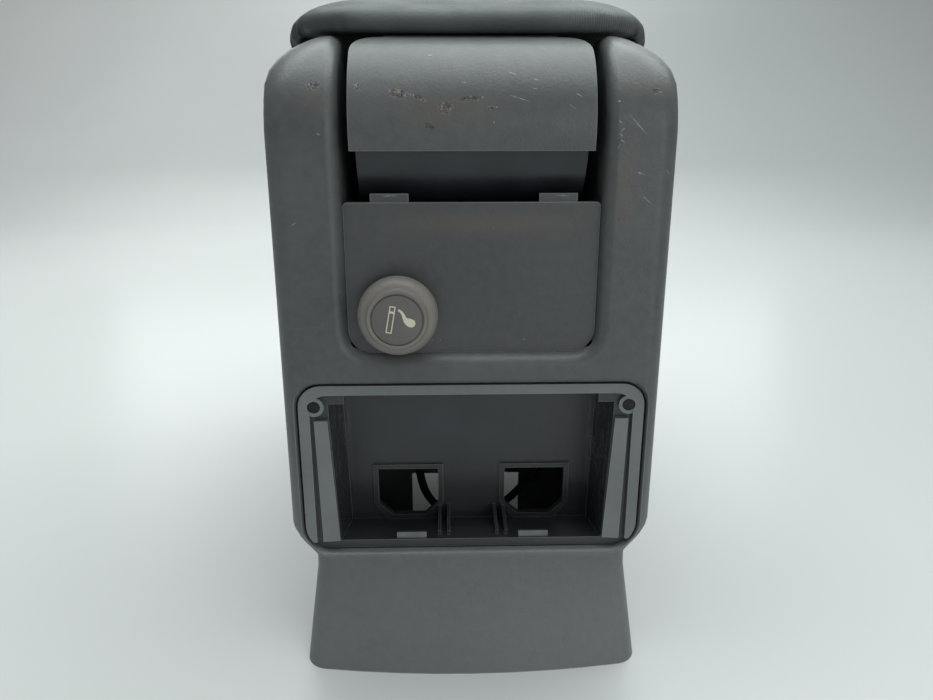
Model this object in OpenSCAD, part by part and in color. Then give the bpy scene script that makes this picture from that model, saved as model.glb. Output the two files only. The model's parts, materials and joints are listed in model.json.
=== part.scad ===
/* [Console housing] */
// Overall width of the console body
console_w = 152; // [146:1:170]
// Length from the rear face to the front face
console_l = 300; // [280:1:340]
// Height of the deck that carries the storage bin
deck_h = 239; // [237:0.5:241]
// Wall thickness of the housing moulding
wall = 3; // [2.4:0.1:3.6]
// Plan radius of the rear vertical edges
rear_edge_r = 8; // [5:0.5:12]
// Plan radius of the front vertical edges
front_edge_r = 14; // [8:0.5:24]
// Height at which the body steps in to the skirt
skirt_h = 47; // [44:0.5:50]
// Width of the skirt at its waist
waist_w = 133; // [128:1:140]
// Width of the skirt at the floor
foot_w = 143; // [138:1:146]
// How far the skirt corners stand behind the rear face at the floor
foot_out = 9; // [4:0.5:14]
// Extra rearward bulge of the skirt's middle at the floor
foot_bulge = 6; // [2:0.5:10]
// Height of the open front below the front wall
front_open_h = 96; // [80:1:104]

/* [Pillars and hinge barrel] */
// Height of the lid's hinge axis
axis_h = 223; // [221:0.5:224]
// Radius of the hinge barrel and of the pillar tops
barrel_r = 34; // [33:0.5:35]
// Width of the slot between the two pillars
slot_w = 97.2; // [94:0.2:102]
// Running gap beside the barrel, each side
barrel_gap = 3.8; // [2:0.1:5]
// Thickness of the barrel cover
barrel_t = 2.4; // [1.6:0.1:2.4]
// Angle that the barrel cover reaches below the horizontal
barrel_low_a = 12; // [8:1:14]
// Radius of the rounding on the pillars' outer shoulders
shoulder_r = 27; // [20:1:28]

/* [Hinge] */
// Diameter of the hinge pin
pin_d = 8; // [6:0.5:10]
// Running clearance of the pin in the lid arms
pin_clear = 0.05; // [0.02:0.01:0.1]
// Sheet thickness of the hinge bracket
bracket_t = 2.5; // [2:0.1:3]
// Distance between the outer faces of the bracket's ears
ear_span = 74; // [66:1:78]

/* [Lid and pad] */
// Width of the armrest pad
pad_w = 145; // [132:1:148]
// Thickness of the armrest pad at its middle
pad_t = 13.6; // [9:0.2:16]
// Plan radius of the pad's corners
pad_corner_r = 30; // [20:1:45]
// How far the pad reaches behind the hinge axis
pad_rear = 10; // [6:0.5:12]
// How far the pad reaches past the console's front face
pad_front = 5; // [2:0.5:8]
// Width of the lid shell under the pad
lid_w = 134; // [128:1:138]
// Wall thickness of the lid shell
lid_wall = 2.6; // [2:0.1:3]

/* [Storage bin] */
// Inside width of the bin
bin_w = 124; // [110:1:126]
// Inside depth of the bin
bin_depth = 106; // [90:1:110]
// Wall thickness of the bin
bin_wall = 2; // [1.6:0.1:2.4]
// Thickness of the bin's rubber mat
mat_t = 2; // [1:0.1:3]

/* [Lighter panel] */
// Height of the panel's lower edge
panel_z = 138; // [136:0.5:140]
// Height of the panel
panel_h = 59; // [57:0.5:60]
// Depth of the panel's face behind the rear face
panel_y = 5; // [4:0.5:6]
// Thickness of the panel
panel_t = 2.5; // [2:0.1:3]
// Radius of the panel's lower corners
panel_corner_r = 9.5; // [6:0.5:12]

/* [Lighter] */
// Sideways place of the lighter's axis
lighter_x = -28.5; // [-32:0.5:-26]
// Height of the lighter's axis
lighter_z = 155; // [154:0.5:158]
// Outer diameter of the knob
knob_d = 30; // [28:0.2:30]
// Length of the knob along its axis
knob_l = 8.2; // [7:0.2:10]
// Diameter of the disc in the knob's face
face_d = 20; // [17:0.2:21]
// Inside diameter of the socket
socket_d = 21.2; // [20.6:0.1:21.6]
// Travel of the knob when it is pushed in
push_travel = 2.6; // [2:0.1:3.4]

/* [Insert bay] */
// Width of the bay's opening in the housing
bay_w = 141; // [138:0.5:142]
// Height of the bay's lower lip
bay_z = 50; // [49:0.5:52]
// Height of the bay's opening
bay_h = 76; // [72:0.5:78]
// Width of the frame's inner opening at its top
mouth_top_w = 117; // [110:1:120]
// Width of the frame's inner opening at its foot
mouth_foot_w = 111.5; // [106:0.5:114]
// Depth of the bay from the rear face to its back wall
bay_depth = 32; // [28:0.5:38]
// Wall thickness of the bay's box
bay_wall = 2; // [1.6:0.1:2.4]
// Width of each window in the back wall
window_w = 27; // [22:0.5:29]
// Height of each window
window_h = 23; // [14:0.5:24]

/* [Wiring] */
// Diameter of the lighter's wiring loom
loom_d = 4.2; // [3.5:0.1:5]

/* [Hidden] */

half_w = console_w / 2;
axis_y = barrel_r;
front_y = console_l + pad_front;
shift_y = -(front_y - foot_out - foot_bulge) / 2;
slot_x = slot_w / 2;
barrel_x = slot_x - barrel_gap;
running_gap = 0.6;
seat_gap = 0.1;
fit_gap = 0.4;

// The cross wall closes the bin's space from the hinge's
cross_y = axis_y + 32;
cross_t = wall;
cavity_top = deck_h - wall;
tunnel_h = 118;
arch_y = 110;
arch_w = 60;
arch_h = 32;
pillar_top_b = 18.5;
pillar_top_z = axis_h + barrel_r - 0.5;

lid_top = axis_h + barrel_r + 0.6;
flange_t = 2;
lid_bottom = deck_h + flange_t + 1;
lid_rear_y = axis_y + 50;
lid_front_y = console_l + 2;
pad_bottom = lid_top + 0.1;

bin_rear_y = cross_y + cross_t + 6;
bin_front_y = console_l - wall - 8;
bin_floor_z = deck_h - bin_depth;
bin_corner_r = 14;

function clamp(v, lo, hi) = max(lo, min(hi, v));

// Corner points of a rounded outline, one quarter turn from angle a
function quarter(cx, cy, r, a, n = 6) =
    [for (i = [0:n]) [cx + r * cos(a + 90 * i / n), cy + r * sin(a + 90 * i / n)]];

// Upright rounded rectangle with its own radius below and above
function round_box(x0, x1, z0, z1, r_low, r_high) = concat(
    quarter(x1 - r_low, z0 + r_low, r_low, -90),
    quarter(x1 - r_high, z1 - r_high, r_high, 0),
    quarter(x0 + r_high, z1 - r_high, r_high, 90),
    quarter(x0 + r_low, z0 + r_low, r_low, 180));

// Arc of a circle in the side view, angles from the forward horizontal
function side_arc(r, a0, a1, n = 12) =
    [for (i = [0:n]) [axis_y + r * cos(a0 + (a1 - a0) * i / n), axis_h + r * sin(a0 + (a1 - a0) * i / n)]];

// Half width of the body at a height, shrunk by t for the inside
function body_half_w(z, t) =
    let (foot = foot_w / 2, waist = waist_w / 2, step_h = 16, top_a = shoulder_r, top_z = pillar_top_z - pillar_top_b)
    z < skirt_h ? foot + (waist - foot) * clamp(z / (skirt_h - 6), 0, 1) - t :
    z < skirt_h + step_h ? waist + (half_w - waist) * pow(sin(90 * (z - skirt_h) / step_h), 1.2) - t :
    z < top_z ? half_w - t :
    half_w - top_a + (top_a - t) * sqrt(max(0, 1 - pow((z - top_z) / (pillar_top_b + 0.8 - t), 2)));

function body_rear_y(z, t) =
    z < skirt_h ? t - foot_out * pow(1 - z / skirt_h, 1.25) :
    z < axis_h ? t :
    axis_y - sqrt(max(0, pow(barrel_r - t, 2) - pow(z - axis_h, 2)));

function body_front_y(z, t, pillar) =
    pillar ? axis_y + sqrt(max(0, pow(barrel_r - t, 2) - pow(z - axis_h, 2))) :
    console_l - t - 10 * clamp(1 - z / front_open_h, 0, 1);

// One level of the body, or of its pillars, in plan, counter-clockwise from the rear left
function body_ring(z, t, pillar = false) =
    let (w = body_half_w(z, t), yr = body_rear_y(z, t), yf = body_front_y(z, t, pillar),
        depth = yf - yr,
        grow = clamp((z - axis_h) / barrel_r, 0, 1),
        rr = min(rear_edge_r - t + 6 * grow, depth * 0.48),
        rf = min(pillar ? rear_edge_r - t : front_edge_r - t, depth * 0.48),
        out = foot_bulge * clamp(1 - z / skirt_h, 0, 1),
        flat = concat(
            [for (k = [-3:3]) [k * (w - rr) / 4, yr]],
            quarter(w - rr, yr + rr, rr, -90, 5),
            quarter(w - rf, yf - rf, rf, 0, 5),
            quarter(-w + rf, yf - rf, rf, 90, 5),
            quarter(-w + rr, yr + rr, rr, 180, 5)))
    [for (p = flat) [p[0], p[1] - (p[1] < yr + rr + 0.01 ? out * (1 - pow(p[0] / w, 2)) : 0), z]];

// Closed skin through a list of rings with equal counts
module ring_loft(rings) {
    n = len(rings[0]);
    last = len(rings) - 1;
    polyhedron(
        points = [for (ring = rings) each ring],
        faces = concat(
            [[for (i = [0:n - 1]) i]],
            [[for (i = [n - 1:-1:0]) last * n + i]],
            [for (k = [0:last - 1]) for (i = [0:n - 1]) let (j = (i + 1) % n) [k * n + i, k * n + n + i, k * n + n + j]],
            [for (k = [0:last - 1]) for (i = [0:n - 1]) let (j = (i + 1) % n) [k * n + i, k * n + n + j, k * n + j]]),
        convexity = 6);
}

module body_skin() {
    low = [0, 12, 24, 34, 41, skirt_h, skirt_h + 2, skirt_h + 4, skirt_h + 7, skirt_h + 9.5, skirt_h + 13, skirt_h + 16,
        front_open_h, axis_h, axis_h + 6, axis_h + 11, deck_h];
    high = concat([deck_h], [for (a = [38, 47, 56, 64, 71, 76, 80]) axis_h + barrel_r * sin(a)]);
    ring_loft([for (z = low) body_ring(z, 0)]);
    ring_loft([for (z = high) body_ring(z, 0, true)]);
}

// Hollow of the body, and that of the pillars, which stays just inside it below the deck
module body_cavity() {
    low = [-6, 24, 41, skirt_h, skirt_h + 3.5, skirt_h + 8, skirt_h + 16, front_open_h, axis_h, cavity_top];
    high = [for (a = [12, 26, 38, 50, 62, 72]) axis_h + (barrel_r - wall) * sin(a)];
    ring_loft([for (z = low) body_ring(z, wall)]);
    ring_loft([for (z = high) body_ring(z, wall + 0.2, true)]);
}

// Outline in the rear view, made solid between two depths
module slab(y0, y1) {
    translate([0, y1, 0]) rotate([90, 0, 0]) linear_extrude(y1 - y0) children();
}

// Outline in the side view, made solid between two widths
module side_slab(x0, x1) {
    translate([x0, 0, 0]) rotate([90, 0, 90]) linear_extrude(x1 - x0) children();
}

module block(x0, x1, y0, y1, z0, z1) {
    translate([x0, y0, z0]) cube([x1 - x0, y1 - y0, z1 - z0]);
}

module rod_x(x0, x1, y, z, d) {
    translate([x0, y, z]) rotate([0, 90, 0]) cylinder(h = x1 - x0, d = d, $fn = 48);
}

module rod_y(y0, y1, x, z, d) {
    translate([x, y1, z]) rotate([90, 0, 0]) cylinder(h = y1 - y0, d = d, $fn = 48);
}

module rod_z(z0, z1, x, y, d) {
    translate([x, y, z0]) cylinder(h = z1 - z0, d = d, $fn = 48);
}

module both_sides() {
    children();
    mirror([1, 0, 0]) children();
}

module at_rear() {
    translate([0, shift_y, 0]) children();
}

// Rounding of the recess's edge: how far out it has spread at a depth, from the recess wall to the face
edge_r = 5;
edge_steps = [0, 24, 48, 70];
function edge_out(a) = edge_r * (1 - cos(a));
function edge_in(a) = edge_r * (1 - sin(a));

recess_foot = panel_z - seat_gap;
function recess_ring(grow, y) =
    [for (p = concat(
        [[slot_x + grow, slot_low_z], [-slot_x - grow, slot_low_z]],
        quarter(-slot_x + panel_corner_r, recess_foot + panel_corner_r, panel_corner_r + grow, 180),
        quarter(slot_x - panel_corner_r, recess_foot + panel_corner_r, panel_corner_r + grow, 270))) [p[0], y, p[1]]];

// Slot between the pillars: its section at the recess's top, and turned about the axis above it
slot_side = concat([for (e = edge_steps) [slot_x + edge_out(e), barrel_r - edge_in(e)]], [[slot_x + edge_r + 5, barrel_r + 1]]);
slot_section = concat(slot_side, [for (k = [len(slot_side) - 1:-1:0]) [-slot_side[k][0], slot_side[k][1]]], [[-slot_x, 1], [slot_x, 1]]);
slot_turns = [137.5, 120, 106, 97, 90, 84, 78, 73.5, 67.5, 60, 51.5, 42.5, 33, 23.1, 14.5, 5];
slot_low_z = axis_h - 1.5;

module recess_cut() {
    ring_loft(concat([recess_ring(0, cross_y)], [for (e = edge_steps) recess_ring(edge_out(e), edge_in(e))],
        [recess_ring(edge_r + 5, -1)]));
    ring_loft(concat(
        [for (a = slot_turns) [for (p = slot_section) [p[0], axis_y - p[1] * cos(a), axis_h + p[1] * sin(a)]]],
        [[for (p = slot_section) [p[0], axis_y - p[1], slot_low_z]]]));
    block(-slot_x, slot_x, edge_r, cross_y, slot_low_z - 1, axis_h + barrel_r + 9);
}

bay_top_r = 10;
bay_low_r = 12;
lip_r = 2.6;
function bay_box(shrink) = round_box(-bay_w / 2 + shrink, bay_w / 2 - shrink, bay_z + shrink, bay_z + bay_h - shrink,
    bay_low_r - shrink, bay_top_r - shrink);

module bay_outline(shrink) {
    polygon(bay_box(shrink));
}

function bay_ring(grow, y) = [for (p = bay_box(-grow)) [p[0], y, p[1]]];

module bay_cut() {
    ring_loft(concat([bay_ring(0, frame_back_y + 0.05)],
        [for (a = [0, 30, 60]) bay_ring(lip_r * (1 - cos(a)), lip_r * (1 - sin(a)))], [bay_ring(lip_r + 3.4, -1)]));
}

// Triangular rib that props the deck from the side wall
gusset_t = 2;
gusset_h = 12;
gusset_ys = [for (k = [1:5]) cross_y + k * 38];
module gusset(y) {
    hull() {
        block(half_w - wall - 0.5, half_w - 1, y, y + gusset_t, cavity_top - gusset_h, cavity_top + 0.5);
        block(bin_w / 2 + bin_wall + 2, half_w - 1, y, y + gusset_t, cavity_top - 0.5, cavity_top + 0.5);
    }
}

rest_l = 7;
rest_h = 9;
screw_in = 2.6;
panel_rest_z = [panel_z + 8, panel_z + panel_h - 14];
bracket_rest_z = 60;
bracket_rest_y = console_l - 44;
bay_boss_z = bay_z + bay_h - 10;
bay_boss_x = bay_w / 2 - 7;
frame_back_y = 6;
bay_rest = 2;

// Walls, rests and bosses left standing inside the moulding
module kept_inside() {
    inner_x = half_w + 1;
    block(-inner_x, inner_x, cross_y, cross_y + cross_t, tunnel_h, deck_h);
    both_sides() {
        block(slot_x - 1, slot_x + wall - 0.4, 0, cross_y + 1, panel_z - wall, pillar_top_z);
        block(half_w - wall - 12, half_w, bracket_rest_y, bracket_rest_y + 34, bracket_rest_z - 10, bracket_rest_z);
        block(arch_w / 2, inner_x, arch_y, arch_y + wall, 0, arch_h + 1);
        block(mouth_top_w / 2 + bay_wall + 0.7, half_w - wall + 0.5, frame_back_y + 1, frame_back_y + 8, bay_boss_z - 5, bay_boss_z + 5);
        for (y = gusset_ys) {
            gusset(y);
        }
    }
    block(-slot_x - wall + 0.5, slot_x + wall - 0.5, 1, panel_y + panel_t + 7, panel_z - wall, panel_z + 2);
    block(-inner_x, inner_x, arch_y, arch_y + wall, arch_h, tunnel_h + 1);
    slab(wall - 1, frame_back_y + 2) difference() {
        bay_outline(-2.6);
        bay_outline(bay_rest);
    }
}

module bin_opening(grow) {
    translate([0, 0, deck_h - wall - 2]) linear_extrude(2 * wall + 4)
        polygon(round_box(-bin_w / 2 - bin_wall - grow, bin_w / 2 + bin_wall + grow,
            bin_rear_y - grow, bin_front_y + grow, bin_corner_r, bin_corner_r));
}

// Blocks on the pillars' inner walls that the panel is screwed to
module panel_rests() {
    both_sides() for (z = panel_rest_z) {
        difference() {
            block(slot_x - 5, slot_x + 0.8, panel_y + panel_t, panel_y + panel_t + rest_l, z, z + rest_h);
            rod_y(panel_y, panel_y + panel_t + rest_l + 1, slot_x - screw_in, z + rest_h / 2, 2.4);
        }
    }
}

module console_housing() {
    color("#55585a") at_rear() {
        panel_rests();
        housing_moulding();
    }
}

module housing_moulding() {
    difference() {
        body_skin();
        difference() {
            body_cavity();
            kept_inside();
        }
        recess_cut();
        bay_cut();
        both_sides() rod_y(frame_back_y - 1, frame_back_y + 9, bay_boss_x, bay_boss_z, 2.6);
        bin_opening(fit_gap);
        block(-half_w - 1, half_w + 1, console_l - wall - 13, console_l + 2, -1, front_open_h - 8);
        for (x = bolt_xs, z = bolt_zs) {
            rod_y(cross_y - 1, cross_y + cross_t + 1, x, z, bolt_d + 0.4);
        }
        both_sides() rod_z(bracket_rest_z - 12, bracket_rest_z + 1, fixing_screw_x, fixing_y, 3.2);
    }
}

module storage_bin() {
    outer_x = bin_w / 2 + bin_wall;
    flange_x = lid_w / 2;
    color("#3a3c3e") at_rear() difference() {
        union() {
            translate([0, 0, bin_floor_z]) linear_extrude(bin_depth)
                polygon(round_box(-outer_x, outer_x, bin_rear_y, bin_front_y, bin_corner_r, bin_corner_r));
            translate([0, 0, deck_h]) linear_extrude(flange_t)
                polygon(round_box(-flange_x, flange_x, bin_rear_y - 3, bin_front_y + 3, bin_corner_r + 3, bin_corner_r + 3));
        }
        translate([0, 0, bin_floor_z + bin_wall]) linear_extrude(bin_depth + 10)
            polygon(round_box(-bin_w / 2, bin_w / 2, bin_rear_y + bin_wall, bin_front_y - bin_wall,
                bin_corner_r - bin_wall, bin_corner_r - bin_wall));
    }
}

module bin_mat() {
    gap = 0.5;
    r = bin_corner_r - bin_wall - gap;
    color("#242527") at_rear() difference() {
        translate([0, 0, bin_floor_z + bin_wall]) linear_extrude(mat_t)
            polygon(round_box(-bin_w / 2 + gap, bin_w / 2 - gap, bin_rear_y + bin_wall + gap, bin_front_y - bin_wall - gap, r, r));
        for (k = [1:7]) {
            y = bin_rear_y + k * (bin_front_y - bin_rear_y) / 8;
            block(-bin_w / 2 + 14, bin_w / 2 - 14, y - 1, y + 1, bin_floor_z + bin_wall + mat_t - 0.7, bin_floor_z + bin_wall + mat_t + 1);
        }
    }
}

// Hinge of the lid
ear_x = ear_span / 2;
ear_r = 11;
bolt_d = 5;
bolt_xs = [-26, 26];
bolt_zs = [axis_h - 14, axis_h + 8];
bracket_y = cross_y - bracket_t;
arm_t = 3;
washer_t = 1.2;
arm_x = ear_x - bracket_t - washer_t;

module ear_outline() {
    difference() {
        union() {
            translate([axis_y, axis_h]) circle(r = ear_r, $fn = 64);
            polygon([[axis_y, axis_h - ear_r], [bracket_y + 1, axis_h - 22], [bracket_y + 1, axis_h + 14], [axis_y, axis_h + ear_r]]);
        }
        translate([axis_y, axis_h]) circle(d = pin_d, $fn = 64);
    }
}

module hinge_bracket() {
    color("#9a9da0") at_rear() difference() {
        union() {
            both_sides() side_slab(ear_x - bracket_t, ear_x) ear_outline();
            block(-ear_x, ear_x, bracket_y, cross_y, axis_h - 22, axis_h + 14);
        }
        for (x = bolt_xs, z = bolt_zs) {
            rod_y(bracket_y - 1, cross_y + 1, x, z, bolt_d + 0.4);
        }
    }
}

clip_t = 1;
module hinge_pin() {
    end_x = ear_x + clip_t + 2;
    color("#b9bcc0") at_rear() difference() {
        rod_x(-end_x, end_x, axis_y, axis_h, pin_d);
        both_sides() difference() {
            rod_x(ear_x, ear_x + clip_t, axis_y, axis_h, pin_d + 2);
            rod_x(ear_x - 1, ear_x + clip_t + 1, axis_y, axis_h, pin_d - 2);
        }
    }
}

module pin_clips() {
    color("#8d9194") at_rear() both_sides() side_slab(ear_x + 0.05, ear_x + clip_t - 0.05) difference() {
        translate([axis_y, axis_h]) circle(r = pin_d / 2 + 2.6, $fn = 48);
        translate([axis_y, axis_h]) circle(d = pin_d - 2, $fn = 48);
        translate([axis_y, axis_h + pin_d]) square([pin_d - 3, 2 * pin_d], center = true);
    }
}

module bracket_bolts() {
    head_y = bracket_y - 3.6;
    color("#a4a7aa") at_rear() for (x = bolt_xs, z = bolt_zs) {
        rod_y(bracket_y - 0.01, cross_y + cross_t + 5, x, z, bolt_d);
        translate([x, bracket_y, z]) rotate([90, 0, 0]) cylinder(h = bracket_y - head_y, d = 9, $fn = 6);
    }
}

module bracket_nuts() {
    color("#a4a7aa") at_rear() for (x = bolt_xs, z = bolt_zs) {
        translate([x, cross_y + cross_t + 4, z]) rotate([90, 0, 0]) difference() {
            cylinder(h = 4, d = 9, $fn = 6);
            translate([0, 0, -1]) cylinder(h = 6, d = bolt_d, $fn = 48);
        }
    }
}

// Fixed shroud that closes the view under the barrel
shroud_r = barrel_r - barrel_t - running_gap;
shroud_t = 2;
module hinge_shroud() {
    low_z = axis_h - shroud_r;
    color("#3f4244") at_rear() side_slab(-barrel_x + 2, barrel_x - 2) polygon(concat(
        side_arc(shroud_r, 184, 270),
        [[cross_y, low_z], [cross_y, low_z + shroud_t]],
        side_arc(shroud_r - shroud_t, 270, 184)));
}

// Plan of the barrel cover: full width behind, rounded in to the tongue
cover_round = 12;
module cover_plan() {
    y0 = axis_y - 20;
    y1 = lid_rear_y - 0.1;
    polygon(concat(
        [[-barrel_x, -5]], [[barrel_x, -5]],
        quarter(barrel_x - cover_round, y0, cover_round, 0, 8),
        [[barrel_x - cover_round, y1], [-barrel_x + cover_round, y1]],
        quarter(-barrel_x + cover_round, y0, cover_round, 90, 8)));
}

// Moving cover of the barrel, with the tongue that joins the lid
module barrel_cover() {
    rib_r = barrel_r - 9;
    tongue_y = lid_rear_y + 1;
    color("#6b6e70") at_rear() intersection() {
        translate([0, 0, axis_h - barrel_r]) linear_extrude(2 * barrel_r + 5) cover_plan();
        cover_solid(rib_r, tongue_y);
    }
}

module cover_solid(rib_r, tongue_y) {
    union() {
        side_slab(-barrel_x, barrel_x) polygon(concat(
            side_arc(barrel_r, 180 + barrel_low_a, 90, 18),
            [[tongue_y, axis_h + barrel_r], [tongue_y, axis_h + barrel_r - barrel_t]],
            side_arc(barrel_r - barrel_t, 90, 180 + barrel_low_a, 18)));
        both_sides() side_slab(barrel_x - 1.6, barrel_x) polygon(concat(
            side_arc(barrel_r - 0.4, 178, 90, 12),
            side_arc(rib_r, 90, 178, 12)));
    }
}

arm_top = axis_h + barrel_r - barrel_t;
arm_end_y = lid_rear_y + 40;
rivet_ys = [lid_rear_y + 12, lid_rear_y + 30];

// Two stamped arms that swing on the pin and carry the lid
module lid_arms() {
    arm_low = axis_h + 21.5;
    plate_t = 2.4;
    plate_z = lid_top - lid_wall;
    color("#9a9da0") at_rear() both_sides() difference() {
        union() {
            side_slab(arm_x - arm_t, arm_x) difference() {
                union() {
                    translate([axis_y, axis_h]) circle(r = 9, $fn = 64);
                    polygon([[axis_y - 9, axis_h], [axis_y - 4, arm_top - 4], [axis_y + 6, arm_top], [arm_end_y, arm_top],
                        [arm_end_y, arm_top - 6], [axis_y + 40, arm_low], [axis_y + 12, axis_h + 16], [axis_y + 9, axis_h]]);
                }
                translate([axis_y, axis_h]) circle(r = pin_d / 2 + pin_clear, $fn = 64);
            }
            block(arm_x - 17, arm_x - arm_t + 0.5, lid_rear_y + 4, arm_end_y, arm_top - plate_t, arm_top);
        }
        for (y = rivet_ys) {
            rod_z(arm_top - plate_t - 1, arm_top + 1, arm_x - 10, y, 4.2);
        }
    }
}

module arm_washers() {
    color("#77706a") at_rear() both_sides() side_slab(arm_x + 0.1, arm_x + washer_t - 0.1) difference() {
        translate([axis_y, axis_h]) circle(r = 8, $fn = 48);
        translate([axis_y, axis_h]) circle(r = pin_d / 2 + 0.1, $fn = 48);
    }
}

// Screws that draw the arms to bosses inside the lid shell
module arm_rivets() {
    color("#a4a7aa") at_rear() both_sides() for (y = rivet_ys) {
        rod_z(arm_top - 2.4 - 2.2, arm_top - 2.4, arm_x - 10, y, 8);
        rod_z(arm_top - 2.4 - 0.01, lid_top - lid_wall, arm_x - 10, y, 4);
    }
}

lid_corner_r = 24;
liner_inset = 7;
liner_t = 2;
liner_screw_x = lid_w / 2 - 19;
liner_screw_at = [for (x = [-liner_screw_x, liner_screw_x], y = [lid_rear_y + 56, lid_front_y - 30]) [x, y]];

module lid_outline(inset) {
    polygon(round_box(-lid_w / 2 + inset, lid_w / 2 - inset, lid_rear_y + inset, lid_front_y - inset,
        max(6 - inset, 2), lid_corner_r - inset));
}

module lid_shell() {
    roof_z = lid_top - lid_wall;
    color("#55585a") at_rear() difference() {
        union() {
            difference() {
                translate([0, 0, lid_bottom]) linear_extrude(lid_top - lid_bottom) lid_outline(0);
                translate([0, 0, lid_bottom - 1]) linear_extrude(roof_z - lid_bottom + 1) lid_outline(lid_wall);
            }
            for (p = liner_screw_at) {
                rod_z(lid_bottom + liner_t + 0.6, roof_z + 0.5, p[0], p[1], 8);
            }
            both_sides() for (y = rivet_ys) {
                rod_z(arm_top + 0.02, roof_z + 0.5, arm_x - 10, y, 10);
            }
        }
        for (p = liner_screw_at) {
            rod_z(lid_bottom, roof_z - 1, p[0], p[1], 3);
        }
        both_sides() for (y = rivet_ys) {
            rod_z(arm_top - 1, roof_z, arm_x - 10, y, 4);
        }
        block(-arm_x - 1, arm_x + 1, lid_rear_y - 1, lid_rear_y + lid_wall + 1, lid_bottom - 1, arm_top + 0.05);
        slab(lid_front_y - 8, lid_front_y + 1) polygon(round_box(-22, 22, lid_bottom - 9, lid_bottom + 6, 1, 6));
    }
}

module lid_liner() {
    color("#3a3c3e") at_rear() difference() {
        translate([0, 0, lid_bottom + 0.5]) linear_extrude(liner_t)
            polygon(round_box(-lid_w / 2 + lid_wall + 0.4, lid_w / 2 - lid_wall - 0.4,
                arm_end_y + 4, lid_front_y - 9, 4, lid_corner_r - lid_wall));
        for (p = liner_screw_at) {
            rod_z(lid_bottom - 1, lid_bottom + liner_t + 2, p[0], p[1], 3.4);
        }
    }
}

module liner_screws() {
    color("#2c2d2f") at_rear() for (p = liner_screw_at) {
        rod_z(lid_bottom - 0.7, lid_bottom + 0.5, p[0], p[1], 6.4);
        rod_z(lid_bottom + 0.49, lid_bottom + 9, p[0], p[1], 2.9);
    }
}

// Level of the pad, drawn in by dx at the sides and by dy behind and in front
function pad_ring(z, dx, dy) =
    let (x = pad_w / 2 - dx, yr = axis_y - pad_rear + dy, yf = front_y - dy, r = max(pad_corner_r - (dx + dy) / 2, 6))
    [for (p = concat(quarter(x - r, yr + r, r, -90, 8), quarter(x - r, yf - r, r, 0, 8),
        quarter(-x + r, yf - r, r, 90, 8), quarter(-x + r, yr + r, r, 180, 8))) [p[0], p[1], z]];

// Crowned cushion whose lip wraps the lid shell and clears the pillars
pad_lip_z = pad_bottom - 7.6;
module armrest_pad() {
    lip = [[0, 0.4, 0.4], [1.6, 0, 0], [4.5, 0.9, 0], [7.6, 4.4, 0]];
    crown = [[0.09, 6.2, 0], [0.21, 9.6, 0.2], [0.34, 13.4, 0.8], [0.49, 21, 3], [0.65, 33, 11], [0.83, 49, 27], [1, 60, 48]];
    color("#4c4f50") at_rear() difference() {
        ring_loft(concat([for (p = lip) pad_ring(pad_lip_z + p[0], p[1], p[2])],
            [for (p = crown) pad_ring(pad_bottom + pad_t * p[0], p[1], p[2])]));
        translate([0, 0, pad_lip_z - 1]) linear_extrude(pad_bottom - pad_lip_z + 1)
            polygon(round_box(-lid_w / 2 - seat_gap, lid_w / 2 + seat_gap, 0, lid_front_y + seat_gap, 1, lid_corner_r + seat_gap));
        rod_x(-half_w, half_w, axis_y, axis_h, 2 * barrel_r + 1.3);
    }
}

// Rubber strips on the bin's flange, under the lid's side walls
stop_l = 20;
module bump_stops() {
    x = lid_w / 2 - lid_wall + 0.2;
    color("#1e1f20") at_rear() both_sides() for (y = [lid_rear_y + 8, lid_front_y - 50]) {
        block(x, x + 2, y, y + stop_l, deck_h + flange_t, lid_bottom - 0.05);
    }
}

// Cover plate that carries the lighter
module lighter_panel() {
    edge = 0.1;
    color("#4a4d4f") at_rear() difference() {
        union() {
            slab(panel_y, panel_y + panel_t) polygon(round_box(-slot_x + edge, slot_x - edge,
                panel_z, panel_z + panel_h, panel_corner_r - edge, 1.5));
            for (x = [-31, 32.5]) {
                block(x - 7.2, x + 7.2, panel_y + 0.6, panel_y + panel_t, panel_z + panel_h - 1, panel_z + panel_h + 3.2);
            }
        }
        rod_y(panel_y - 1, panel_y + panel_t + 1, lighter_x, lighter_z, collar_d);
        for (x = [-1, 1], z = panel_rest_z) {
            rod_y(panel_y + 1.4, panel_y + panel_t + 1, x * (slot_x - screw_in), z + rest_h / 2, 2);
        }
    }
}

module panel_screws() {
    back_y = panel_y + panel_t + rest_l;
    color("#2c2d2f") at_rear() for (x = [-1, 1], z = panel_rest_z) {
        rod_y(back_y, back_y + 1.8, x * (slot_x - screw_in), z + rest_h / 2, 4.6);
        rod_y(panel_y + 1.5, back_y + 0.01, x * (slot_x - screw_in), z + rest_h / 2, 2);
    }
}

// Lighter socket behind the panel
socket_t = 0.9;
collar_d = 25.6;
socket_l = 40;
socket_front_y = panel_y - 2.4;
socket_out_d = socket_d + 2 * socket_t;

module socket_shell() {
    color("#b4b6b8") at_rear() translate([lighter_x, socket_front_y, lighter_z]) rotate([-90, 0, 0]) rotate_extrude($fn = 72)
        polygon([[socket_d / 2, 0], [socket_out_d / 2 + 1, 0], [socket_out_d / 2 + 1, 1], [socket_out_d / 2, 1],
            [socket_out_d / 2, socket_l], [4.2, socket_l], [4.2, socket_l - socket_t], [socket_d / 2, socket_l - socket_t]]);
}

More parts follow.
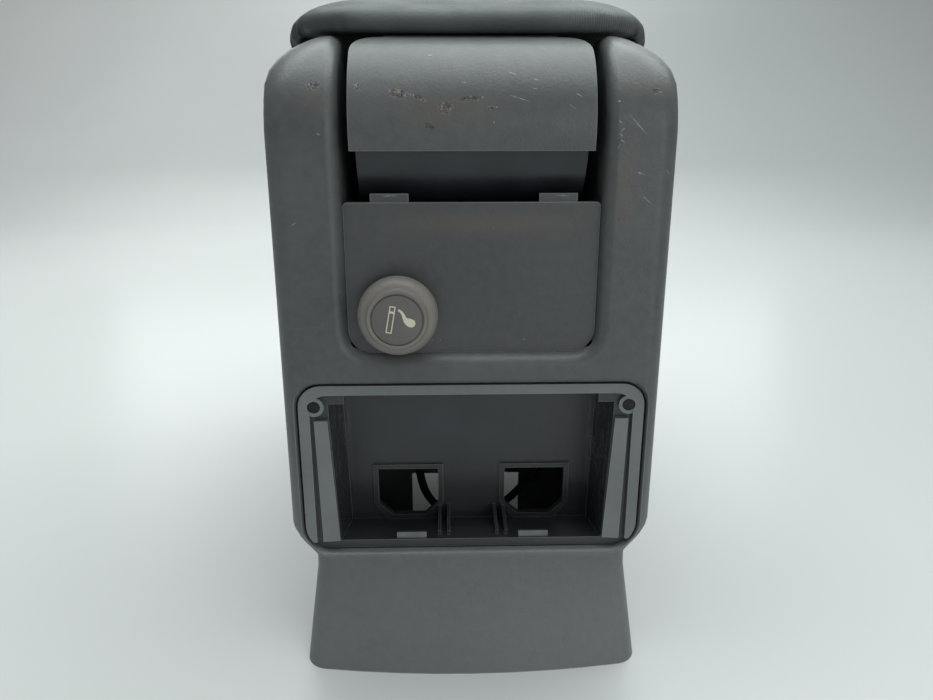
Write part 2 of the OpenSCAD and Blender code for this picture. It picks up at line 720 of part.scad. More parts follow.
// Moulded collar: its flange lies on the panel, its barrel grips the shell
module socket_collar() {
    inner = socket_out_d / 2 + 0.1;
    outer = collar_d / 2 - 0.05;
    flange = outer + 1.1;
    color("#2f3133") at_rear() translate([lighter_x, socket_front_y, lighter_z]) rotate([-90, 0, 0]) rotate_extrude($fn = 72)
        polygon([[inner, 1.05], [flange, 1.05], [flange, 2.35], [outer, 2.35], [outer, 2.45 + panel_t],
            [flange - 0.4, 2.45 + panel_t], [outer, 7 + panel_t], [outer, 28], [inner, 28]]);
}

module socket_insulator() {
    base = socket_front_y + socket_l;
    color("#d8d4c8") at_rear() difference() {
        union() {
            rod_y(base - socket_t - 2.5, base - socket_t, lighter_x, lighter_z, socket_d - 0.6);
            rod_y(base - socket_t - 0.01, base + 1.6, lighter_x, lighter_z, 8.2);
        }
        rod_y(base - 6, base + 3, lighter_x, lighter_z, 3);
    }
}

// Bimetal clip that holds the plug's cup, on its stud
module socket_contact() {
    base = socket_front_y + socket_l - socket_t - 2.5;
    color("#c3a566") at_rear() union() {
        rod_y(base - 1, base + 9, lighter_x, lighter_z, 3);
        rod_y(base - 1, base, lighter_x, lighter_z, 12);
        both_sides_of_lighter() block(7.4, 8.2, base - 5, base, lighter_z - 3, lighter_z + 3);
        both_sides_of_lighter() block(5, 8.2, base - 0.8, base, lighter_z - 3, lighter_z + 3);
    }
}

module both_sides_of_lighter() {
    translate([lighter_x, 0, 0]) both_sides() children();
}

terminal_y = socket_front_y + socket_l + 1.6;
module terminal_blades() {
    color("#c9b184") at_rear() {
        difference() {
            union() {
                rod_y(terminal_y, terminal_y + 1, lighter_x, lighter_z, 9);
                block(lighter_x - 3.15, lighter_x + 3.15, terminal_y, terminal_y + 9, lighter_z - 4.4, lighter_z - 3.6);
            }
            rod_y(terminal_y - 1, terminal_y + 2, lighter_x, lighter_z, 3);
        }
    }
}

module terminal_housing() {
    y0 = terminal_y + 2.6;
    color("#e6e3da") at_rear() difference() {
        block(lighter_x - 6, lighter_x + 6, y0, y0 + 12, lighter_z - 11, lighter_z + 2.4);
        block(lighter_x - 3.25, lighter_x + 3.25, y0 - 1, terminal_y + 9.4, lighter_z - 4.6, lighter_z - 3.4);
        rod_y(y0 - 1, y0 + 6, lighter_x, lighter_z, 3.6);
    }
}

// Pull-out plug of the lighter; its parts move together
knob_back_y = socket_front_y - push_travel - 0.1;
knob_front_y = knob_back_y - knob_l;
module lighter_knob() {
    r = knob_d / 2;
    fr = face_d / 2;
    rim = 1.2;
    color("#6d6865") at_rear() translate([lighter_x, knob_front_y, lighter_z]) rotate([-90, 0, 0]) rotate_extrude($fn = 72)
        polygon(concat(
            [[0, 0.9], [fr, 0.9], [fr, 0.2], [fr + 0.5, 0], [fr + rim, 0]],
            [for (i = [1:8]) [fr + rim + (r - fr - rim) * sin(90 * i / 8), (knob_l - 2.6) * (1 - cos(90 * i / 8))]],
            [[r, knob_l - 0.6], [r - 0.6, knob_l], [socket_d / 2 - 0.7, knob_l], [0, knob_l]]));
}

module knob_disc() {
    color("#4f5051") at_rear() rod_y(knob_front_y + 0.1, knob_front_y + 0.9, lighter_x, lighter_z, face_d - 0.9);
}

plug_l = 25;
module plug_barrel() {
    r = socket_d / 2 - 0.3;
    color("#c2c4c6") at_rear() translate([lighter_x, knob_back_y, lighter_z]) rotate([-90, 0, 0]) rotate_extrude($fn = 72)
        polygon([[0, 0], [r - 1, 0], [r - 1, 4], [r, 5], [r, plug_l - 1], [r - 1, plug_l], [r - 1.9, plug_l],
            [r - 1.9, 6], [0, 6]]);
}

module element_cup() {
    y0 = knob_back_y + 6;
    y1 = knob_back_y + plug_l + 2;
    color("#a7a29a") at_rear() difference() {
        union() {
            rod_y(y0, y1 - 4, lighter_x, lighter_z, 5);
            rod_y(y1 - 4, y1, lighter_x, lighter_z, 14.4);
        }
        rod_y(y1 - 3, y1 + 1, lighter_x, lighter_z, 13.2);
    }
}

// Flat heating ribbon, drawn as three rings standing in the cup
module element_coil() {
    y0 = knob_back_y + plug_l - 1;
    color("#5a4f49") at_rear() for (r = [1.6, 3.4, 5.2]) {
        translate([lighter_x, y0, lighter_z]) rotate([-90, 0, 0]) rotate_extrude($fn = 48)
            translate([r, 0]) square([0.6, 2.4]);
    }
}

// Frame that held the rear insert, a box with flanges round its mouth
frame_y = 1.8;
frame_gap = 0.8;
mouth_top_z = bay_z + bay_h - 5;
mouth_foot_z = bay_z + 5.2;
box_end_y = bay_depth + bay_wall;
floor_drop = 6.5;
back_w = 108;
window_xs = [-27.8, 29.3];
window_rim = 2.2;
rib_xs = [-13.7, -9.7, 11.2, 15.2];
window_foot_z = mouth_foot_z - floor_drop + 2.5;

module mouth_outline(grow) {
    polygon([[-mouth_foot_w / 2 - grow, mouth_foot_z - grow], [mouth_foot_w / 2 + grow, mouth_foot_z - grow],
        [mouth_top_w / 2 + grow, mouth_top_z + grow], [-mouth_top_w / 2 - grow, mouth_top_z + grow]]);
}

// Tapering inside of the box; grow gives its outside
module box_solid(grow, y0, y1) {
    hull() {
        slab(y0, y0 + 0.01) mouth_outline(grow);
        slab(y1 - 0.01, y1) polygon([
            [-back_w / 2 - grow, mouth_foot_z - floor_drop - grow], [back_w / 2 + grow, mouth_foot_z - floor_drop - grow],
            [back_w / 2 + 2 + grow, mouth_top_z - 1 + grow], [-back_w / 2 - 2 - grow, mouth_top_z - 1 + grow]]);
    }
}

module window_outline(grow) {
    w = window_w / 2 + grow;
    c = 6;
    translate([0, window_foot_z]) polygon([[-w + c, -grow], [w - c, -grow], [w, c], [w, window_h + grow],
        [-w, window_h + grow], [-w, c]]);
}

rail_w = 3.4;
rail_x0 = bay_w / 2 - frame_gap - 1.2;
module bay_frame() {
    color("#4b4e51") at_rear() difference() {
        union() {
            slab(frame_y + 2.4, frame_back_y) bay_outline(frame_gap);
            difference() {
                slab(frame_y, frame_y + 2.5) bay_outline(frame_gap);
                slab(frame_y - 1, frame_y + 3) polygon(round_box(-bay_w / 2 + 5.2, bay_w / 2 - 5.2, bay_z - 3,
                    bay_z + bay_h - 4.8, 4, 7));
                block(-bay_w, bay_w, frame_y - 1, frame_y + 3, bay_z - 2, mouth_foot_z - 0.6);
            }
            both_sides() slab(frame_y + 0.2, frame_back_y - 0.5) polygon([
                [mouth_foot_w / 2 - 0.2, mouth_foot_z], [mouth_foot_w / 2 + 7, mouth_foot_z - 0.4],
                [mouth_top_w / 2 + 5.2, bay_boss_z - 6], [mouth_top_w / 2 - 0.2, bay_boss_z - 6]]);
            box_solid(bay_wall, frame_back_y - 1, box_end_y);
            for (x = window_xs) translate([x, 0, 0]) slab(bay_depth - 1.2, bay_depth + 1) window_outline(window_rim);
            both_sides() rod_y(frame_y + 0.4, frame_back_y, bay_boss_x, bay_boss_z, 8);
        }
        difference() {
            box_solid(0, frame_y - 2, bay_depth);
            for (x = rib_xs) {
                block(x - 0.6, x + 0.6, 9, bay_depth + 1, mouth_foot_z - floor_drop - 2, mouth_foot_z + 0.3);
            }
            both_sides() block(mouth_top_w / 2 - 7, mouth_top_w / 2 + 3, frame_y + 1, frame_y + 3, mouth_top_z - 4.4, mouth_top_z + 2);
            for (x = window_xs) translate([x, 0, 0]) slab(bay_depth - 1.2, bay_depth + 1) window_outline(window_rim);
        }
        for (x = window_xs) translate([x, 0, 0]) slab(bay_depth - 4, box_end_y + 2) window_outline(0);
        both_sides() rod_y(frame_y - 1, frame_y + 2, bay_boss_x, bay_boss_z, 5.2);
        both_sides() rod_y(frame_y - 1, frame_back_y + 1, bay_boss_x, bay_boss_z, 2.6);
    }
}

module bay_screws() {
    color("#6f7275") at_rear() both_sides() {
        rod_y(frame_y + 0.6, frame_y + 2, bay_boss_x, bay_boss_z, 4.8);
        rod_y(frame_y + 1.99, frame_back_y + 6, bay_boss_x, bay_boss_z, 2.5);
    }
}

function floor_z(y) = mouth_foot_z - floor_drop * (y - frame_y + 2) / (bay_depth - frame_y + 2);

// Sprung metal tabs that stand up at the front edge of the bay's floor
clip_xs = [-31.9, 20.2];
clip_w = 12.7;
module bay_spring_clips() {
    y = frame_back_y - 1;
    t = 0.6;
    color("#9da0a1") at_rear() for (x = clip_xs) side_slab(x, x + clip_w) polygon([
        [y, floor_z(y) + 0.03], [y + 8, floor_z(y + 8) + 0.03], [y + 8, floor_z(y + 8) + t],
        [y + t, floor_z(y + t) + t], [y + t, floor_z(y) + 3], [y, floor_z(y) + 3]]);
}

// Wiring loom: hand-picked points, smoothed by a spline
loom_points = [[-28.5, 52, 143.8], [-28.5, 52, 136], [-28, 56, 118], [-27, 62, 94], [-25.5, 70, 66], [-22, 76, 40],
    [-12, 78, 26], [2, 78, 21], [16, 78, 28], [30, 78, 42], [42, 78, 60], [50, 78, 84], [52, 78, 104], [52, 78, 112]];
loom_steps = 4;
loom_sides = 8;

function spline(p, k, t) =
    let (a = p[max(k - 1, 0)], b = p[k], c = p[k + 1], d = p[min(k + 2, len(p) - 1)])
    0.5 * (2 * b + (c - a) * t + (2 * a - 5 * b + 4 * c - d) * t * t + (3 * b - a - 3 * c + d) * t * t * t);

function unit(v) = v / norm(v);

module wiring_loom() {
    last = len(loom_points) - 1;
    path = concat([for (k = [0:last - 1]) for (s = [0:loom_steps - 1]) spline(loom_points, k, s / loom_steps)], [loom_points[last]]);
    m = len(path) - 1;
    color("#26282a") at_rear() ring_loft([for (i = [0:m])
        let (t = unit(path[min(i + 1, m)] - path[max(i - 1, 0)]), side = unit(cross(t, [0, 1, 0])), over = cross(side, t))
        [for (k = [loom_sides - 1:-1:0]) path[i] + loom_d / 2 * (side * cos(360 * k / loom_sides) + over * sin(360 * k / loom_sides))]]);
}

// Clip on a post under the bin, round the loom near its end
module loom_clip() {
    x = 51.6;
    y = loom_points[12][1];
    z = 98;
    color("#1f2022") at_rear() difference() {
        union() {
            rod_z(z, z + 4, x, y, loom_d + 4.6);
            block(x - 2, x + 2, y + loom_d / 2 + 1, y + 9, z, z + 4);
            block(x - 2, x + 2, y + 6, y + 9, z, bin_floor_z);
        }
        rod_z(z - 1, z + 5, x, y, loom_d + 0.6);
        block(x - 1.3, x + 1.3, y - 8, y, z - 1, z + 5);
    }
}

module loom_connector() {
    x = loom_points[13][0];
    y = loom_points[13][1];
    z = loom_points[13][2] + seat_gap;
    color("#e6e3da") at_rear() block(x - 6, x + 6, y - 4, y + 2, z, bin_floor_z);
}

// Steel strap that bolts the console down on the car's tunnel
fixing_y = bracket_rest_y + 17;
fixing_screw_x = half_w - wall - 6;
fixing_hole_x = 38;
strap_t = 3;
module fixing_bracket() {
    x = half_w - wall - 1.5;
    color("#8f9396") at_rear() difference() {
        block(-x, x, bracket_rest_y + 4, bracket_rest_y + 30, bracket_rest_z, bracket_rest_z + strap_t);
        both_sides() rod_z(bracket_rest_z - 1, bracket_rest_z + strap_t + 1, fixing_hole_x, fixing_y, 6.6);
        both_sides() rod_z(bracket_rest_z - 1, bracket_rest_z + strap_t + 1, fixing_screw_x, fixing_y, 4.2);
    }
}

module fixing_screws() {
    z = bracket_rest_z + strap_t;
    color("#2c2d2f") at_rear() both_sides() {
        rod_z(z, z + 2.4, fixing_screw_x, fixing_y, 8);
        rod_z(bracket_rest_z - 9, z + 0.01, fixing_screw_x, fixing_y, 3.2);
    }
}

console_housing();
storage_bin();
bin_mat();
hinge_bracket();
hinge_pin();
pin_clips();
bracket_bolts();
bracket_nuts();
hinge_shroud();
barrel_cover();
lid_arms();
arm_washers();
arm_rivets();
lid_shell();
lid_liner();
liner_screws();
armrest_pad();
bump_stops();
lighter_panel();
panel_screws();
socket_shell();
socket_collar();
socket_contact();
socket_insulator();
terminal_blades();
terminal_housing();
lighter_knob();
knob_disc();
plug_barrel();
element_cup();
element_coil();
bay_frame();
bay_screws();
bay_spring_clips();
wiring_loom();
loom_clip();
loom_connector();
fixing_bracket();
fixing_screws();
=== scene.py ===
"""Looks of a car's centre armrest: worn grained mouldings, a padded lid, a lighter and an empty bay."""

import json
import math

import bpy
from mathutils import Matrix, Vector


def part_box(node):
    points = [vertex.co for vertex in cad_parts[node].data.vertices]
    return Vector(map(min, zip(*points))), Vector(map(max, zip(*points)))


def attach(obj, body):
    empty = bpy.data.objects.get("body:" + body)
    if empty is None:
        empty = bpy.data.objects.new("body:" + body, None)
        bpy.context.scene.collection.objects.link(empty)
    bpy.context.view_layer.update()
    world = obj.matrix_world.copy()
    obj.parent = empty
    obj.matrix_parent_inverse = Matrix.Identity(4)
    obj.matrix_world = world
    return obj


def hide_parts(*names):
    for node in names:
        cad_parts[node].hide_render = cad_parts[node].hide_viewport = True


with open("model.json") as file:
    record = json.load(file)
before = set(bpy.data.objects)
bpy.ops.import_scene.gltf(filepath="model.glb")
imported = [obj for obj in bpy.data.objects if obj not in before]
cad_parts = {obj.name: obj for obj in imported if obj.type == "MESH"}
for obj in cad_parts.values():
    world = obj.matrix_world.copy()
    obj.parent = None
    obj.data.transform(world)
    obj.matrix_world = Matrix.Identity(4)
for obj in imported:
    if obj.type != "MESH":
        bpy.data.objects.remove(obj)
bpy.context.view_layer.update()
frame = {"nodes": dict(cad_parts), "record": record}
nodes = frame["nodes"]
record = frame["record"]
body_of_node = {node: body for body, names in record["behaviour"]["bodies"].items() for node in names}

MM = 0.001
PER_METRE = 1000                       # mm in a metre: this over a pattern's size in mm is its scale
HINGE = Vector((0, -0.111, 0.223))     # on the lid's axis, which runs from side to side
CLEAR_R = 34.7 * MM                    # the pad stays this far from that axis, clear of the barrel
REAR_Y = -0.145                        # the rear face that the photograph looks at
LIGHTER = Vector((-0.0285, 0, 0.155))  # on the lighter's axis, which runs from front to rear
SAME_POINT = 1e-6                      # points nearer than this are merged
SAME_CAD_POINT = 2e-6                  # the same for a copied CAD mesh
FLAT = math.radians(0.6)               # CAD facets that turn less than this are one flat face


# Modelling by hand: small steps that are used again and again

def let_go():
    """Object mode, with nothing selected."""
    if bpy.context.mode != "OBJECT":
        bpy.ops.object.mode_set(mode="OBJECT")
    bpy.ops.object.select_all(action="DESELECT")


def take(piece):
    """Only this piece selected and active."""
    let_go()
    piece.select_set(True)
    bpy.context.view_layer.objects.active = piece


def added(name):
    """The object that was just added, named, with its place in its mesh."""
    piece = bpy.context.object
    piece.name = name
    piece.data.name = name
    take(piece)
    bpy.ops.object.transform_apply(location=True, rotation=True, scale=True)
    return piece


def edit(piece):
    take(piece)
    bpy.ops.object.mode_set(mode="EDIT")
    bpy.ops.mesh.select_mode(type="FACE")


def pick_edges(piece, test):
    """Selects the edges whose two ends pass the test, and stays in edit mode."""
    take(piece)
    bpy.ops.object.mode_set(mode="EDIT")
    bpy.ops.mesh.select_mode(type="EDGE")
    bpy.ops.mesh.select_all(action="DESELECT")
    bpy.ops.object.mode_set(mode="OBJECT")
    mesh = piece.data
    for e in mesh.edges:
        e.select = test(*(mesh.vertices[i].co for i in e.vertices))
    bpy.ops.object.mode_set(mode="EDIT")


def outward(piece):
    """Doubles merged, and every face turned outwards."""
    edit(piece)
    bpy.ops.mesh.select_all(action="SELECT")
    bpy.ops.mesh.remove_doubles(threshold=SAME_POINT)
    bpy.ops.mesh.normals_make_consistent(inside=False)
    let_go()
    return piece


def use(piece, kind, **settings):
    """Adds a modifier with its settings and applies it."""
    take(piece)
    step = piece.modifiers.new(kind.lower(), kind)
    for key, value in settings.items():
        setattr(step, key, value)
    bpy.ops.object.modifier_apply(modifier=step.name)


def softened(piece, width, steps, angle):
    """Mould radii of width mm on the sharp edges, then normals that keep the flats flat."""
    if width:
        use(piece, "BEVEL", limit_method="ANGLE", angle_limit=math.radians(angle), width=width * MM,
            segments=steps, use_clamp_overlap=True)
    take(piece)
    bpy.ops.object.shade_smooth_by_angle(angle=math.radians(angle))
    use(piece, "WEIGHTED_NORMAL", keep_sharp=True, weight=60)


def put(piece, body, finish, *stands_for, slot):
    """Gives a piece its finish and the body that carries it. Its slot is not used."""
    piece.data.materials.clear()
    piece.data.materials.append(finish)
    if stands_for:
        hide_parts(*stands_for)
    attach(piece, body)


def taken(node, name):
    """A copy of a CAD piece as one clean mesh: its facets' own points merged, its flat faces whole."""
    piece = nodes[node].copy()
    piece.data = nodes[node].data.copy()
    for key in list(piece.keys()):
        del piece[key]
    piece.name = piece.data.name = name
    piece.parent = None
    piece.matrix_world = Matrix.Identity(4)
    bpy.context.scene.collection.objects.link(piece)
    edit(piece)
    bpy.ops.mesh.customdata_custom_splitnormals_clear()
    bpy.ops.mesh.select_all(action="SELECT")
    bpy.ops.mesh.remove_doubles(threshold=SAME_CAD_POINT)
    bpy.ops.mesh.dissolve_limited(angle_limit=FLAT)
    let_go()
    return piece


def dressed(node, name, finish, radius, steps=2, angle=35):
    """A moulding or pressing whose CAD shape is right: its copy with its mould or sheet radii."""
    piece = taken(node, name)
    softened(piece, radius, steps, angle)
    slot = next(part["material_slot"] for part in record["subparts"] if part["node"] == node)
    put(piece, body_of_node[node], finish, node, slot=slot)


def turned(name, y_start, profile, sides=96):
    """A part turned about the lighter's axis: a disc drawn out and resized ring by ring towards the rear.

    The profile's rows are distance from y_start and radius, in mm.
    """
    bpy.ops.mesh.primitive_circle_add(vertices=sides, radius=profile[0][1] * MM, fill_type="NGON",
                                      location=(LIGHTER.x, y_start, LIGHTER.z),
                                      rotation=(math.radians(90), 0, 0))
    piece = added(name)
    edit(piece)
    bpy.ops.mesh.select_all(action="SELECT")
    for (d0, r0), (d1, r1) in zip(profile, profile[1:]):
        bpy.ops.mesh.extrude_region_move(TRANSFORM_OT_translate={"value": (0, (d0 - d1) * MM, 0)})
        bpy.ops.transform.resize(value=(r1 / r0, 1, r1 / r0), center_override=(LIGHTER.x, 0, LIGHTER.z))
    let_go()
    return outward(piece)


# Finishes

# Sockets that a node tells apart by number
A, B = 0, 1                                       # the two operands of a Math or Vector Math node
VALUE, LOW, HIGH, TO_LOW, TO_HIGH = range(5)      # a Map Range node's value and its two ranges
SHARE, FROM, TO, MIXED = 0, 6, 7, 2               # a colour Mix node's inputs and its output
FROM_NUMBER, TO_NUMBER = 2, 3                     # a number Mix node's inputs, with SHARE

ABS_IOR = 1.53

# Scales in repeats per metre, where a pattern isn't sized by its finish
DUST_PATCHES = 110.0             # 9 mm
CRUMBS = 770.0                   # 1.3 mm, the size of the torn grit in a scuff
POLISH_CLOUDS = 26.0             # 38 mm, about a hand's touch
FLOW_CLOUDS = 80.0               # 12 mm
DRAWN_LINES = (110, 2500, 2500)  # 9 mm long and 0.4 mm apart: drawn coarser than real ones, to show
FLOW_WAVES = 48.0                # 21 mm, drawn out in height by FLOW_STRETCH
FLOW_STRETCH = (1, 1, 0.45)
STRETCH_LINES = 330.0            # about 1 mm apart, because a wave repeats every 0.31 m over its scale
WORN_VINYL = 70.0                # 14 mm

DUST = "#8d9091"
# painted light: the foot's paler tone, standing in for light thrown up by the floor
PAINTED_FOOT_LIGHT = "#84898a"
# brownish veils: grime, and painted shade and reflection
GRIME_AND_SHADE = "#5b5650"
SCUFF_CRUMB = "#8b8075"
SCUFF_PIT = "#33312f"
SCRATCH = "#a9adae"
# pale edges: partly wear from hands, partly painted highlight
EDGE_HIGHLIGHT_AND_WEAR = "#9a9fa0"


def linear(code):
    """An sRGB hex colour as the linear values that a shader takes."""
    channels = [int(code[i:i + 2], 16) / 255 for i in (1, 3, 5)]
    return tuple(c / 12.92 if c <= 0.04045 else ((c + 0.055) / 1.055) ** 2.4 for c in channels) + (1,)


def add(tree, kind, into, out=0, **settings):
    """Adds a node with its settings and links, and returns one of its outputs."""
    node = tree.nodes.new("ShaderNode" + kind)
    for key, value in settings.items():
        setattr(node, key, value)
    for socket, value in into.items():
        if isinstance(value, bpy.types.NodeSocket):
            tree.links.new(value, node.inputs[socket])
        else:
            node.inputs[socket].default_value = value
    return node.outputs[out]


def started(name, ior=1.5, metallic=0.0):
    """A new finish: its material, its tree, and the object coordinates that its patterns read."""
    finish = bpy.data.materials.new(name)
    finish.use_nodes = True
    tree = finish.node_tree
    shader = tree.nodes["Principled BSDF"]
    shader.inputs["Metallic"].default_value = metallic
    if metallic == 0:
        shader.inputs["IOR"].default_value = ior
    return finish, tree, add(tree, "TexCoord", {}, "Object")


def finished(tree, colour, rough, normal):
    """Links a finish's patterns to its shader."""
    shader = tree.nodes["Principled BSDF"]
    for socket, value in (("Base Color", colour), ("Roughness", rough), ("Normal", normal)):
        tree.links.new(value, shader.inputs[socket])


def mottle(tree, place, size_mm, first, second, share=1.0):
    """Two colours that drift into each other in clouds of about size_mm."""
    cloud = add(tree, "TexNoise", {"Vector": place, "Scale": PER_METRE / size_mm, "Detail": 4.0})
    drift = add(tree, "MapRange", {VALUE: cloud, LOW: 0.35, HIGH: 0.7, TO_LOW: 0.0, TO_HIGH: share})
    return add(tree, "Mix", {SHARE: drift, FROM: first, TO: second}, MIXED, data_type="RGBA")


def grain(tree, place, cell_mm, depth_mm, under=None):
    """Eroded mould grain: rounded cells of about cell_mm with fine noise on them, over any relief below."""
    cells = add(tree, "TexVoronoi", {"Vector": place, "Scale": PER_METRE / cell_mm, "Smoothness": 0.6},
                "Distance", feature="SMOOTH_F1")
    fine = add(tree, "TexNoise", {"Vector": place, "Scale": 1.7 * PER_METRE / cell_mm, "Detail": 3.0})
    height = add(tree, "Math", {A: cells, B: fine}, operation="ADD")
    if under is not None:
        height = add(tree, "Math", {A: height, B: under}, operation="ADD")
    return add(tree, "Bump", {"Height": height, "Distance": depth_mm * MM, "Strength": 1.0})


def marks(tree, place, spots, inner, outer):
    """A mask of thin ellipses on the faces that look rearwards.

    A spot is its x, z, length and width in mm, and its tilt in degrees. The mask is full within the share
    inner of an ellipse and fades out towards outer.
    """
    into_body = 50 * MM
    nearest = None
    for x, z, length, width, tilt in spots:
        local = add(tree, "Mapping", {"Vector": place, "Location": (x * MM, REAR_Y, z * MM),
                                      "Rotation": (0, math.radians(-tilt), 0),
                                      "Scale": (length * MM / 2, into_body, width * MM / 2)},
                    vector_type="TEXTURE")
        near = add(tree, "VectorMath", {A: local}, "Value", operation="LENGTH")
        nearest = near if nearest is None else add(tree, "Math", {A: nearest, B: near}, operation="MINIMUM")
    return add(tree, "MapRange", {VALUE: nearest, LOW: inner, HIGH: outer, TO_LOW: 1.0, TO_HIGH: 0.0})


def edge_highlight_and_wear(tree, colour, pale, radius_mm=0.7, share=0.55):
    """Pale edges, partly wear from hands and partly painted highlight: where the surface's normal differs
    from its rounded one.
    """
    rounded = add(tree, "Bevel", {"Radius": radius_mm * MM}, samples=4)
    own = add(tree, "NewGeometry", {}, "Normal")
    same = add(tree, "VectorMath", {A: rounded, B: own}, "Value", operation="DOT_PRODUCT")
    edge = add(tree, "MapRange", {VALUE: same, LOW: 0.985, HIGH: 0.86, TO_LOW: 0.0, TO_HIGH: share})
    return add(tree, "Mix", {SHARE: edge, FROM: colour, TO: linear(pale)}, MIXED, data_type="RGBA")


def dust_and_foot_light(tree, place, colour):
    """Dust in patches on the upward faces, and painted light that makes the foot paler, standing in for the
    light that the floor throws up.
    """
    up = add(tree, "SeparateXYZ", {"Vector": add(tree, "NewGeometry", {}, "Normal")}, "Z")
    upward = add(tree, "MapRange", {VALUE: up, LOW: 0.35, HIGH: 1.0, TO_LOW: 0.0, TO_HIGH: 0.34})
    patches = add(tree, "TexNoise", {"Vector": place, "Scale": DUST_PATCHES, "Detail": 5.0})
    settled = add(tree, "Math", {A: upward, B: patches}, operation="MULTIPLY")
    colour = add(tree, "Mix", {SHARE: settled, FROM: colour, TO: linear(DUST)}, MIXED, data_type="RGBA")
    # painted light: paler towards the foot, for the light that the floor throws up
    height = add(tree, "SeparateXYZ", {"Vector": place}, "Z")
    foot = add(tree, "MapRange", {VALUE: height, LOW: 110 * MM, HIGH: 20 * MM, TO_LOW: 0.0, TO_HIGH: 0.3})
    return add(tree, "Mix", {SHARE: foot, FROM: colour, TO: linear(PAINTED_FOOT_LIGHT)}, MIXED, data_type="RGBA")


def grimed_and_shaded(tree, place, colour, spots):
    """Thin brownish veils: grime, and painted shade and reflection."""
    veil = add(tree, "Math", {A: marks(tree, place, spots, 0.3, 1.0), B: 0.5}, operation="MULTIPLY")
    return add(tree, "Mix", {SHARE: veil, FROM: colour, TO: linear(GRIME_AND_SHADE)}, MIXED, data_type="RGBA")


def scuffed(tree, place, colour, crumbs, spots):
    """Crumbly scuffs, brown crumbs with dark pits between them, and their relief for the bump."""
    relief_height = 3.0
    worn = add(tree, "Math", {A: marks(tree, place, spots, 0.0, 1.0), B: crumbs}, operation="ADD")
    worn = add(tree, "MapRange", {VALUE: worn, LOW: 0.66, HIGH: 0.96})
    high = add(tree, "MapRange", {VALUE: crumbs, LOW: 0.52, HIGH: 0.6})
    deep = add(tree, "MapRange", {VALUE: crumbs, LOW: 0.5, HIGH: 0.42})
    ridge = add(tree, "Math", {A: worn, B: high}, operation="MULTIPLY")
    pit = add(tree, "Math", {A: worn, B: deep}, operation="MULTIPLY")
    colour = add(tree, "Mix", {SHARE: ridge, FROM: colour, TO: linear(SCUFF_CRUMB)}, MIXED, data_type="RGBA")
    colour = add(tree, "Mix", {SHARE: pit, FROM: colour, TO: linear(SCUFF_PIT)}, MIXED, data_type="RGBA")
    relief = add(tree, "Math", {A: ridge, B: pit}, operation="SUBTRACT")
    return colour, add(tree, "Math", {A: relief, B: relief_height}, operation="MULTIPLY")


def scratched(tree, place, colour, crumbs, spots):
    """Pale, broken lines that hard things have left."""
    broken = add(tree, "MapRange", {VALUE: crumbs, LOW: 0.4, HIGH: 0.56, TO_LOW: 0.2, TO_HIGH: 0.8})
    line = add(tree, "Math", {A: marks(tree, place, spots, 0.2, 0.8), B: broken}, operation="MULTIPLY")
    return add(tree, "Mix", {SHARE: line, FROM: colour, TO: linear(SCRATCH)}, MIXED, data_type="RGBA")


def aged_moulding(name, base, light, dark, cell_mm=1.1, depth_mm=0.05, roughness=0.43,
                  scratches=(), scuffs=(), grime_and_shade=()):
    """Injection moulded ABS with an eroded grain. Handling polishes it in clouds, dust greys the upward
    faces, and hard things leave pale scratches and crumbly brown scuffs. Painted light lies on it too:
    pale edges partly as highlight, brownish veils partly as shade, and a paler foot as light from the floor."""
    finish, tree, place = started(name, ior=ABS_IOR)
    colour = mottle(tree, place, 38, linear(dark), linear(base))
    colour = mottle(tree, place, 3.5, colour, linear(light), 0.22)
    # dust on the upward faces, and painted floor light on the foot
    colour = dust_and_foot_light(tree, place, colour)
    crumbs = add(tree, "TexNoise", {"Vector": place, "Scale": CRUMBS, "Detail": 4.0, "Roughness": 0.8})
    relief = None
    # brownish veils: grime, and painted shade and reflection
    if grime_and_shade:
        colour = grimed_and_shaded(tree, place, colour, grime_and_shade)
    if scuffs:
        colour, relief = scuffed(tree, place, colour, crumbs, scuffs)
    if scratches:
        colour = scratched(tree, place, colour, crumbs, scratches)
    # pale edges: partly wear from hands, partly painted highlight
    colour = edge_highlight_and_wear(tree, colour, EDGE_HIGHLIGHT_AND_WEAR)
    polish = add(tree, "TexNoise", {"Vector": place, "Scale": POLISH_CLOUDS, "Detail": 4.0})
    rough = add(tree, "MapRange", {VALUE: polish, LOW: 0.3, HIGH: 0.75,
                                   TO_LOW: roughness - 0.07, TO_HIGH: roughness + 0.08})
    finished(tree, colour, rough, grain(tree, place, cell_mm, depth_mm, relief))
    return finish


def plain_moulding(name, base, light, ior=1.5, roughness=0.45, cell_mm=1.0, depth_mm=0.03):
    """Moulded plastic or rubber that nobody touches: a soft mottle and a faint grain."""
    finish, tree, place = started(name, ior=ior)
    flow = add(tree, "TexNoise", {"Vector": place, "Scale": FLOW_CLOUDS, "Detail": 3.0})
    rough = add(tree, "MapRange", {VALUE: flow, LOW: 0.3, HIGH: 0.7,
                                   TO_LOW: roughness - 0.06, TO_HIGH: roughness + 0.08})
    finished(tree, mottle(tree, place, 22, linear(base), linear(light)), rough,
             grain(tree, place, cell_mm, depth_mm))
    return finish


def bare_metal(name, base, shade, roughness):
    """Plated or drawn metal: fine lines along its width and a slight cloud in the plating."""
    finish, tree, place = started(name, metallic=1.0)
    drawn = add(tree, "Mapping", {"Vector": place, "Scale": DRAWN_LINES})
    lines = add(tree, "TexNoise", {"Vector": drawn, "Scale": 1.0, "Detail": 3.0})
    rough = add(tree, "MapRange", {VALUE: lines, LOW: 0.3, HIGH: 0.7,
                                   TO_LOW: roughness - 0.08, TO_HIGH: roughness + 0.1})
    finished(tree, mottle(tree, place, 6, linear(shade), linear(base)), rough,
             add(tree, "Bump", {"Height": lines, "Distance": 0.01 * MM, "Strength": 0.6}))
    return finish


